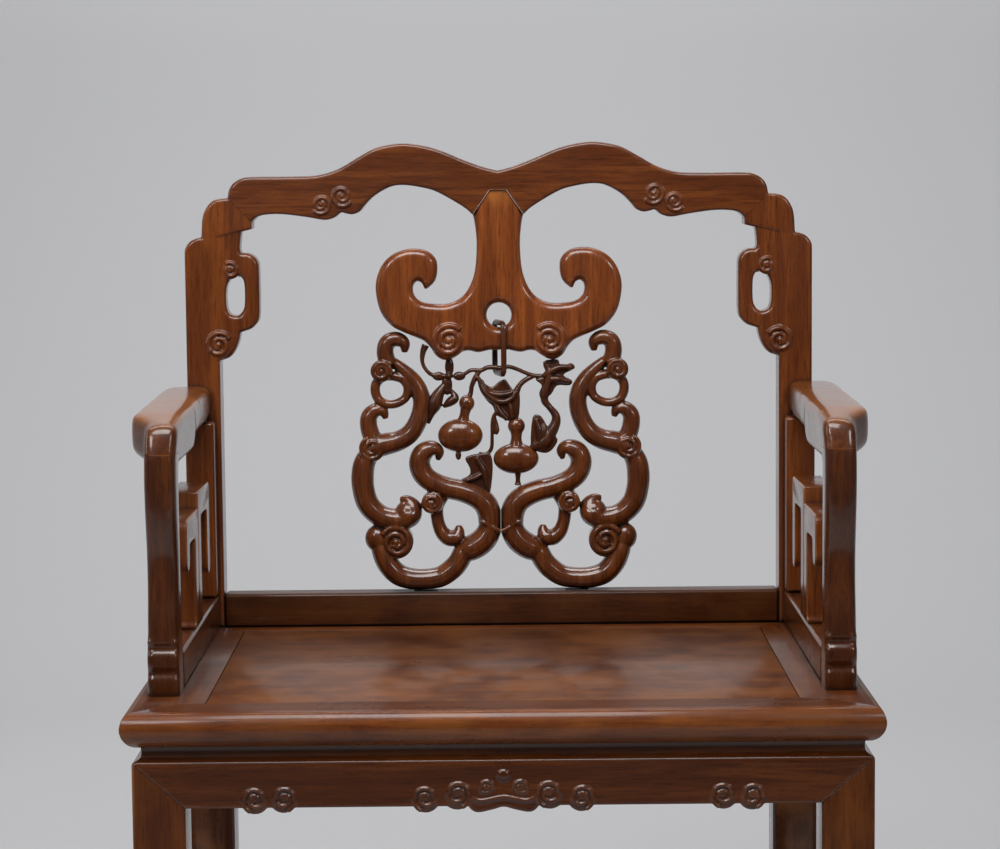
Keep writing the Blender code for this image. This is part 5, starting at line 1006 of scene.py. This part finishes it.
class ARMCHAIR_OT_legs(bpy.types.Operator):
    """Round the legs and stretchers"""

    bl_idname = "armchair.legs"
    bl_label = "Legs and stretchers"

    def execute(self, context):
        for end in (FRONT, BACK):
            for side in (LEFT, RIGHT):
                round_solid("leg_" + ENDS[end] + "_" + SIDES[side], "leg", LEG_ARRIS)
            round_solid("stretcher_" + ENDS[end], "crossing")
        for side in (LEFT, RIGHT):
            round_solid("stretcher_" + SIDES[side], "sideways")
        return {"FINISHED"}


# Back frame

def crest_place(share):
    """Place on the crest rail in metres, from shares."""
    return share[0] * POST_OUTER, CREST_BASE + share[1] * CREST_FALL


def splat_place(share, side=RIGHT):
    """Place on the splat in metres, from shares, with a half width if the share has one."""
    place = (side * share[0] * SPLAT_HALF, RAIL_TOP + share[1] * BACK_RISE)
    return place + tuple(value * SPLAT_HALF for value in share[2:3])


def stem_tip(gap):
    """The point of the stem in the crest, from left foot over the tip to right foot."""
    foot_x, foot_z = crest_place(CREST_UNDER[-1])
    tip_x, tip_z = splat_place(HEAD_TIP)
    return [(-foot_x - gap, foot_z), (-tip_x - gap, tip_z + gap), (tip_x + gap, tip_z + gap),
            (foot_x + gap, foot_z)]


def splat_line(shares, side=RIGHT, steps=4, closed=False):
    """A smooth line through places on the splat."""
    return smooth_line([splat_place(share, side) for share in shares], steps, closed)


def mirrored(outline):
    """An outline on the other side of the chair, in the same turning direction."""
    return [(-x, z) for x, z in reversed(outline)]


def mitre_cut(item, side, towards_post):
    """Cuts a piece along the mitre between the crest rail and a post."""
    outer, inner = crest_place(CREST_TOP[-1]), crest_place(CREST_UNDER[0])
    across, up = outer[1] - inner[1], inner[0] - outer[0]
    facing_out = 1 if towards_post else -1
    slice_off(item, (side * outer[0], 0, outer[1] + facing_out * MITRE_DROP),
              (side * facing_out * across, 0, facing_out * up))
    return item


def stem_hole():
    """The space of the stem's pointed end in the crest rail."""
    feet = stem_tip(GAP)
    aside, below = feet[3][0] + STEM_HOLE_OVERRUNS[0], feet[3][1] - STEM_HOLE_OVERRUNS[1]
    outline = feet + [(aside, below), (-aside, below)]
    return board("stem_hole", [outline], CARVE_DEPTH, facing(SPLAT_MIDDLE))


def crest_piece():
    """The waved crest rail with its two pairs of clouds."""
    top = smooth_line([crest_place(share) for share in CREST_TOP], 4)
    under = smooth_line([crest_place(share) for share in CREST_UNDER], 4)
    past = [(x + MITRE_OVERRUN, z - MITRE_OVERRUN) for x, z in (top[-1], under[0])]
    right = top + past + under
    outline = right + [(-x, z) for x, z in reversed(right[1:])]
    pieces = [board("crest", [outline], POST_BACK - POST_FRONT, facing((POST_FRONT + POST_BACK) / 2),
                    sizes().edge_round)]
    for side in (LEFT, RIGHT):
        for x, z, radius, start, winding in CREST_CLOUDS:
            pieces += volute("crest_cloud", side, x, z, radius, POST_FRONT, start, winding, turns=1.6)
    crest = fuse("crest_rail_carved", pieces, sizes().carving_grid, keep=0.7)
    for side in (LEFT, RIGHT):
        mitre_cut(crest, side, towards_post=True)
    return carve_off(crest, stem_hole())


def post_piece(side):
    """A back post with its stepped shoulder, looped bracket and volute."""
    outer, mitre = crest_place(CREST_TOP[-1]), crest_place(CREST_UNDER[0])
    foot = outer[1] - SHOULDER_HEIGHT * SHOULDER[-1][1]
    width = POST_OUTER - outer[0]
    shoulder = [(POST_OUTER - x * width, foot + z * SHOULDER_HEIGHT) for x, z in SHOULDER]
    shoulder = smooth_line(shoulder[:5], 4) + smooth_line(shoulder[5:-1] + [outer], 4)
    height = (mitre[1] - ARM_TOP - BRACKET_CLEARANCE) / BRACKET[-1][1]
    bracket = [(POST_INNER - x * BRACKET_WIDTH, mitre[1] - z * height) for x, z in BRACKET]
    past = [(x - MITRE_OVERRUN, z + MITRE_OVERRUN) for x, z in (outer, mitre)]
    body = [(POST_OUTER, SEAT_TOP + GAP)] + shoulder + past + [mitre, (mitre[0], bracket[0][1]),
            (POST_INNER, bracket[0][1] - POST_STEP), (POST_INNER, SEAT_TOP + GAP)]
    plate = [(POST_INNER + BRACKET_OVERLAP, bracket[0][1])] + smooth_line(bracket[:9], 4)[:-1]
    plate += smooth_line(bracket[8:11], 4)[:-1] + smooth_line(bracket[10:], 4)
    plate += [(POST_INNER + BRACKET_OVERLAP, bracket[-1][1])]
    slot = smooth_line([(POST_INNER - x * BRACKET_WIDTH, mitre[1] - z * height)
                        for x, z in BRACKET_SLOT], 4, True)
    if side == LEFT:
        body, plate, slot = mirrored(body), mirrored(plate), mirrored(slot)
    pieces = [board("post", [body], POST_BACK - POST_FRONT, facing((POST_FRONT + POST_BACK) / 2),
                    sizes().edge_round),
              board("bracket", [plate, slot], BRACKET_THICK, facing(POST_FRONT + BRACKET_DEPTH),
                    BRACKET_EDGE),
              band("curl_tip", smooth_line([(side * x, z, half) for x, z, half in CURL_TIP], 4),
                   CURL_TIP_DEPTH, POST_FRONT + CURL_TIP_BEHIND)]
    pieces += volute("bracket_curl", side, *BRACKET_CURL, turns=1.3, proud=0.6 * MM, deep=18 * MM)
    pieces += volute("bracket_volute", side, *BRACKET_VOLUTE, turns=1.7)
    post = fuse("back_post_" + SIDES[side] + "_carved", pieces, sizes().carving_grid, keep=0.7)
    return mitre_cut(post, side, towards_post=False)


class ARMCHAIR_OT_back_frame(bpy.types.Operator):
    """Build the crest rail, the posts and the low back rail"""

    bl_idname = "armchair.back_frame"
    bl_label = "Back frame"

    def execute(self, context):
        finish_piece(crest_piece(), "crossing", "rosewood_frame", "crest_rail")
        for side in (LEFT, RIGHT):
            finish_piece(post_piece(side), "upright", "rosewood_frame", "back_post_" + SIDES[side])
        round_solid("back_rail", "back_rail")
        return {"FINISHED"}


# Splat

def head_piece():
    """Stem and cloud-shaped head with its curled hooks, eye and two volutes."""
    right = splat_line(HEAD)
    feet = stem_tip(0.0)
    high = feet[1][1] + HEAD_RISE
    outline = [(feet[0][0], high), (feet[3][0], high), (feet[3][0], feet[3][1] - GAP)] + right[2:]
    outline += mirrored(right[2:]) + [(feet[0][0], feet[0][1] - GAP)]
    eye_z = RAIL_TOP + HEAD_EYE * BACK_RISE
    pieces = [board("head", [outline, round_outline(0, eye_z, HEAD_EYE_RADIUS)], SPLAT_THICK,
                    facing(SPLAT_MIDDLE), sizes().carving_round, 5)]
    for side in (LEFT, RIGHT):
        pieces += volute("head_volute", side, *splat_place(HEAD_VOLUTE), SPLAT_FRONT, 135, -1, turns=2.0,
                         proud=2.6 * MM)
        x, z = splat_place(HOOK_END, side)
        pieces.append(ball("hook_end", (x, SPLAT_MIDDLE, z), HOOK_END_SIZES))
    head = fuse("splat_head_carved", pieces, sizes().carving_grid, keep=0.6)
    aside, above = feet[3][0] + CREST_SPACE_OVERRUNS[0], high + CREST_SPACE_OVERRUNS[1]
    space = feet + [(aside, feet[3][1]), (aside, above), (-aside, above), (-aside, feet[0][1])]
    return carve_off(head, board("crest_space", [space], CARVE_DEPTH, facing(SPLAT_MIDDLE)))


def scroll_piece(side):
    """The carved scroll of one side."""
    pieces = []
    for name, table in (("great_c", GREAT_C), ("sweep", SWEEP), ("eyelet", EYELET), ("top_hook", TOP_HOOK),
                        ("side_hook", SIDE_HOOK), ("lower_c", LOWER_C), ("knot", KNOT), ("heart", HEART),
                        ("heart_leg", HEART_LEG)):
        middle = SPLAT_MIDDLE - (EYELET_PROUD if name == "eyelet" else 0)
        pieces.append(band(name, splat_line(table, side, 5), SCROLL_DEPTH, middle))
    for *share, start, winding in VOLUTES:
        pieces += volute("volute", side, *splat_place(share), SPLAT_FRONT, start, winding, turns=1.8,
                         proud=1.2 * MM, deep=19 * MM)
    x, z, radius = splat_place(SIDE_LOBE, side)
    pieces.append(ball("side_lobe", (x, SPLAT_MIDDLE, z), (radius * 0.95, LOBE_HALF_DEPTH, radius * 1.05)))
    x, z, radius = splat_place(TAIL_BALL, side)
    pieces.append(ball("tail_ball", (x, SPLAT_MIDDLE - TAIL_PROUD, z), (radius, BALL_HALF_DEPTH, radius)))
    pieces.append(band("tie", splat_line(TIE, side, 5), middle_y=SPLAT_FRONT - TIE_PROUD))
    name = "splat_scroll_" + SIDES[side] + "_carved"
    scroll = fuse(name, pieces, sizes().carving_grid, rounds=6, keep=0.55)
    slice_off(scroll, (side * GAP / 2, 0, 0), (-side, 0, 0))
    slice_off(scroll, (0, 0, RAIL_TOP + GAP / 2), (0, 0, -1))
    return scroll


def splat_ball(name, centre, *half_shares):
    """A rounded lump in the middle of the splat's thickness, its half sizes given as shares."""
    x, z = splat_place(centre)
    return ball(name, (x, SPLAT_MIDDLE, z), [share * SPLAT_HALF for share in half_shares])


def vine_piece():
    """Branch, twigs, leaves and flower."""
    pieces = [band("branch", splat_line(BRANCH), BRANCH_DEPTH)]
    pieces += [band("twig", splat_line(table), TWIG_DEPTH) for table in TWIGS]
    for table in LEAVES:
        outline = splat_line(table, steps=3, closed=True)
        pieces.append(board("leaf", [outline], LEAF_THICK, facing(SPLAT_MIDDLE), LEAF_EDGE, 2))
    for table in VEINS:
        ridge = smooth_line([(x, z, half * VEIN_WIDENING) for x, z, half in map(splat_place, table)], 4)
        pieces.append(band("vein", ridge, VEIN_DEPTH, SPLAT_MIDDLE - VEIN_PROUD))
    pieces += [splat_ball("petal", *table) for table in PETALS]
    return fuse("splat_vine_carved", pieces, sizes().small_carving_grid, rounds=2, keep=0.7)


def gourds_piece():
    """The two gourds that hang from the vine."""
    pieces = [splat_ball("gourd", *table) for table in GOURDS]
    pieces += [band("neck", splat_line(table)) for table in NECKS]
    return fuse("splat_gourds_carved", pieces, sizes().small_carving_grid, rounds=2, keep=0.7)


class ARMCHAIR_OT_splat(bpy.types.Operator):
    """Carve the splat: head, scrolls, vine and link"""

    bl_idname = "armchair.splat"
    bl_label = "Carved splat"

    def execute(self, context):
        finish_piece(head_piece(), "head", "rosewood_splat", "splat_head")
        for side in (LEFT, RIGHT):
            finish_piece(scroll_piece(side), "scroll", "rosewood_splat", "splat_scroll_" + SIDES[side])
        finish_piece(vine_piece(), "vine", "rosewood_vine", "splat_vine")
        finish_piece(gourds_piece(), "gourd", "rosewood_vine", "splat_vine")
        round_solid("splat_link", "vine", LINK_ARRIS, slot="rosewood_vine")
        return {"FINISHED"}


# Arms

def arm_pair(side):
    """An arm rest and its stump, carved as one flowing shape and parted at their joint."""
    word = SIDES[side]
    rest = shift(clean(copied_solid("arm_rest_" + word, "rest")),
                 lambda point: point.y > POST_FRONT - REAR_END_WITHIN, (0, ARM_OVERRUN, 0))
    for turn in ROLL_TURNS:
        back, up = math.cos(math.radians(turn)), math.sin(math.radians(turn))
        edge = (0, ROLL_MIDDLE[0] - ROLL_RADIUS * back, ROLL_MIDDLE[1] + ROLL_RADIUS * up)
        slice_off(rest, edge, (0, -back, up))
    stump = shift(clean(copied_solid("arm_stump_" + word, "stump")),
                  lambda point: point.z < SEAT_TOP + FOOT_END_WITHIN, (0, 0, -ARM_OVERRUN))
    middle = SIDE_MIDDLE * side
    bridge = block("bridge", (middle - BRIDGE_HALF[0], BRIDGE_FRONT, STUMP_TOP - BRIDGE_HALF[1]),
                   (middle + BRIDGE_HALF[0], BRIDGE_BACK, STUMP_TOP + BRIDGE_HALF[1]))
    rest = fuse("arm_rest_" + word + "_worn", [rest, stump, bridge], ARM_GRID, ARM_ROUNDS)
    upper = rest.vertex_groups.new(name="upper")
    upper.add([vertex.index for vertex in rest.data.vertices if vertex.co.z > ROUNDED_FROM], 1.0, "REPLACE")
    apply(rest, "SMOOTH", factor=0.5, iterations=UPPER_ROUNDS, vertex_group="upper")
    slice_off(rest, (0, POST_FRONT - GAP, 0), (0, 1, 0))
    slice_off(rest, (0, 0, SEAT_TOP + GAP), (0, 0, -1))
    stump = rest.copy()
    stump.data = rest.data.copy()
    stump.name = "arm_stump_" + word + "_worn"
    bpy.context.scene.collection.objects.link(stump)
    slice_off(stump, (0, 0, STUMP_TOP - GAP / 2), (0, 0, 1))
    slice_off(stump, (0, STUMP_BACK + STUMP_PAST, 0), (0, 1, 0))
    low = (middle - STUMP_SPACE_HALF, STUMP_FRONT - STUMP_SPACE_OVERRUN, SEAT_TOP - STUMP_SPACE_OVERRUN)
    high = (middle + STUMP_SPACE_HALF, STUMP_BACK + STUMP_PAST + GAP, STUMP_TOP + GAP / 2)
    carve_off(rest, block("stump_space", low, high))
    return rest, stump


class ARMCHAIR_OT_arms(bpy.types.Operator):
    """Carve the arm rests and stumps and round the fretwork"""

    bl_idname = "armchair.arms"
    bl_label = "Arms"

    def execute(self, context):
        for side in (LEFT, RIGHT):
            word = SIDES[side]
            rest, stump = arm_pair(side)
            finish_piece(rest, "arm", "rosewood_frame", "arm_rest_" + word)
            finish_piece(stump, "stump", "rosewood_frame", "arm_stump_" + word)
            round_solid("arm_base_rail_" + word, "sideways", FRET_ARRIS, 3)
            for node in ("arm_rear_stile_", "arm_hook_front_", "arm_hook_back_"):
                round_solid(node + word, "upright", FRET_ARRIS, 3)
        return {"FINISHED"}


# Stage

# Name, place, aim, size in metres and power in watts.
LAMPS = (
    ("ceiling_softbox", (-0.2, -0.95, 2.35), (0, 0, 0.6), (1.5, 1.0), 44),
    ("left_softbox", (-1.6, -2.0, 2.1), (0, 0, 0.75), (0.6, 0.7), 17),
    ("right_softbox", (1.8, -1.9, 1.9), (0, 0, 0.75), (0.5, 0.6), 12),
    ("side_softbox", (-2.6, 0.2, 1.6), (0, 0, 0.70), (0.6, 1.4), 9),
    ("backdrop_softbox", (0.0, 1.5, 3.4), (0, 3.3, 1.0), (3.6, 0.8), 80),
)
AIR_COLOUR = (0.80, 0.82, 0.85, 1)
AIR_STRENGTH = 0.09
SHEET_SIZE = (10, 5.0)
SHEET_MIDDLE = 0.9
SHEET_RISE = 4.5
SHEET_BEND = 1.2
# The photo's camera: focal length in pixels, sensor in millimetres, place, downward tilt and roll.
FOCAL_PIXELS = 2698.9
IMAGE_WIDTH = 1000
SENSOR_WIDTH = 36
CAMERA_PLACE = (0.0, -2.4439, 0.9564)
CAMERA_TILT = 0.09769
CAMERA_ROLL = math.radians(-0.55)


def lamp(name, place, aim, size, power):
    """A soft rectangular lamp."""
    data = bpy.data.lights.new(name, "AREA")
    data.shape = "RECTANGLE"
    data.size, data.size_y = size
    data.energy = power
    item = bpy.data.objects.new(name, data)
    bpy.context.scene.collection.objects.link(item)
    item.location = place
    item.rotation_euler = (Vector(aim) - Vector(place)).to_track_quat("-Z", "Y").to_euler()
    return item


def paper_sweep():
    """Floor that turns up into a backdrop in one bend."""
    bpy.ops.object.select_all(action="DESELECT")
    bpy.ops.mesh.primitive_plane_add(size=1, location=(0, SHEET_MIDDLE, 0))
    sheet = bpy.context.object
    sheet.name = "backdrop"
    sheet.scale = (*SHEET_SIZE, 1)
    bpy.ops.object.transform_apply(location=True, rotation=True, scale=True)
    only(sheet)

    def pick_rear_edge():
        bpy.ops.object.mode_set(mode="EDIT")
        bpy.ops.mesh.select_mode(type="EDGE")
        bpy.ops.mesh.select_all(action="DESELECT")
        bpy.ops.object.mode_set(mode="OBJECT")
        for edge in sheet.data.edges:
            ends = [sheet.data.vertices[k].co for k in edge.vertices]
            edge.select = all(end.y > SHEET_MIDDLE and end.z < SHEET_RISE / 2 for end in ends)
        bpy.ops.object.mode_set(mode="EDIT")

    pick_rear_edge()
    bpy.ops.mesh.extrude_region_move(TRANSFORM_OT_translate={"value": (0, 0, SHEET_RISE)})
    pick_rear_edge()
    bpy.ops.mesh.bevel(offset=SHEET_BEND, segments=14, affect="EDGES")
    bpy.ops.mesh.select_all(action="SELECT")
    bpy.ops.mesh.normals_make_consistent(inside=False)
    bpy.ops.object.mode_set(mode="OBJECT")
    sheet.data.shade_smooth()
    return sheet


class ARMCHAIR_OT_stage(bpy.types.Operator):
    """Set the floor, backdrop, lamps and camera"""

    bl_idname = "armchair.stage"
    bl_label = "Stage"

    def execute(self, context):
        scene = context.scene
        scene.view_settings.view_transform = "Standard"
        sweep = paper_sweep()
        paper = bpy.data.materials.new("backdrop_paper")
        paper.use_nodes = True
        shader = paper.node_tree.nodes["Principled BSDF"]
        shader.inputs["Base Color"].default_value = (*colours().backdrop, 1)
        shader.inputs["Roughness"].default_value = 0.95
        shader.inputs["Specular IOR Level"].default_value = 0.1
        sweep.data.materials.append(paper)
        world = bpy.data.worlds.new("studio_air")
        scene.world = world
        world.use_nodes = True
        air = world.node_tree.nodes["Background"]
        air.inputs["Color"].default_value = AIR_COLOUR
        air.inputs["Strength"].default_value = AIR_STRENGTH
        lamps = [lamp(*values) for values in LAMPS]
        camera = bpy.data.objects.new("camera", bpy.data.cameras.new("camera"))
        scene.collection.objects.link(camera)
        camera.data.sensor_width = SENSOR_WIDTH
        camera.data.lens = FOCAL_PIXELS * SENSOR_WIDTH / IMAGE_WIDTH
        turn = Matrix.Rotation(math.pi / 2 - CAMERA_TILT, 4, "X") @ Matrix.Rotation(CAMERA_ROLL, 4, "Z")
        camera.matrix_world = Matrix.Translation(CAMERA_PLACE) @ turn
        scene.camera = camera
        return {"FINISHED"}


class ARMCHAIR_PT_sidebar(bpy.types.Panel):
    """Lists the steps that build the armchair"""

    bl_idname = "ARMCHAIR_PT_sidebar"
    bl_label = "Carved armchair"
    bl_space_type = "VIEW_3D"
    bl_region_type = "UI"
    bl_category = "Armchair"

    def draw(self, context):
        for step in STEPS:
            self.layout.operator(step.bl_idname)
        for group in (context.scene.armchair_sizes, context.scene.armchair_colours):
            for name in group.__annotations__:
                self.layout.prop(group, name)


STEPS = (
    ARMCHAIR_OT_timber, ARMCHAIR_OT_seat, ARMCHAIR_OT_aprons, ARMCHAIR_OT_legs,
    ARMCHAIR_OT_back_frame, ARMCHAIR_OT_splat, ARMCHAIR_OT_arms, ARMCHAIR_OT_stage,
)
CLASSES = (ArmchairSizes, ArmchairColours, *STEPS, ARMCHAIR_PT_sidebar)


def register():
    """Makes the sizes, colours, steps and sidebar known."""
    for kind in CLASSES:
        bpy.utils.register_class(kind)
    bpy.types.Scene.armchair_sizes = bpy.props.PointerProperty(type=ArmchairSizes)
    bpy.types.Scene.armchair_colours = bpy.props.PointerProperty(type=ArmchairColours)


def unregister():
    """Takes them away again."""
    del bpy.types.Scene.armchair_colours
    del bpy.types.Scene.armchair_sizes
    for kind in reversed(CLASSES):
        bpy.utils.unregister_class(kind)


def main():
    """Builds the chair step by step."""
    register()
    bpy.ops.armchair.timber()
    bpy.ops.armchair.seat()
    bpy.ops.armchair.aprons()
    bpy.ops.armchair.legs()
    bpy.ops.armchair.back_frame()
    bpy.ops.armchair.splat()
    bpy.ops.armchair.arms()
    bpy.ops.armchair.stage()


if __name__ == "__main__":
    main()
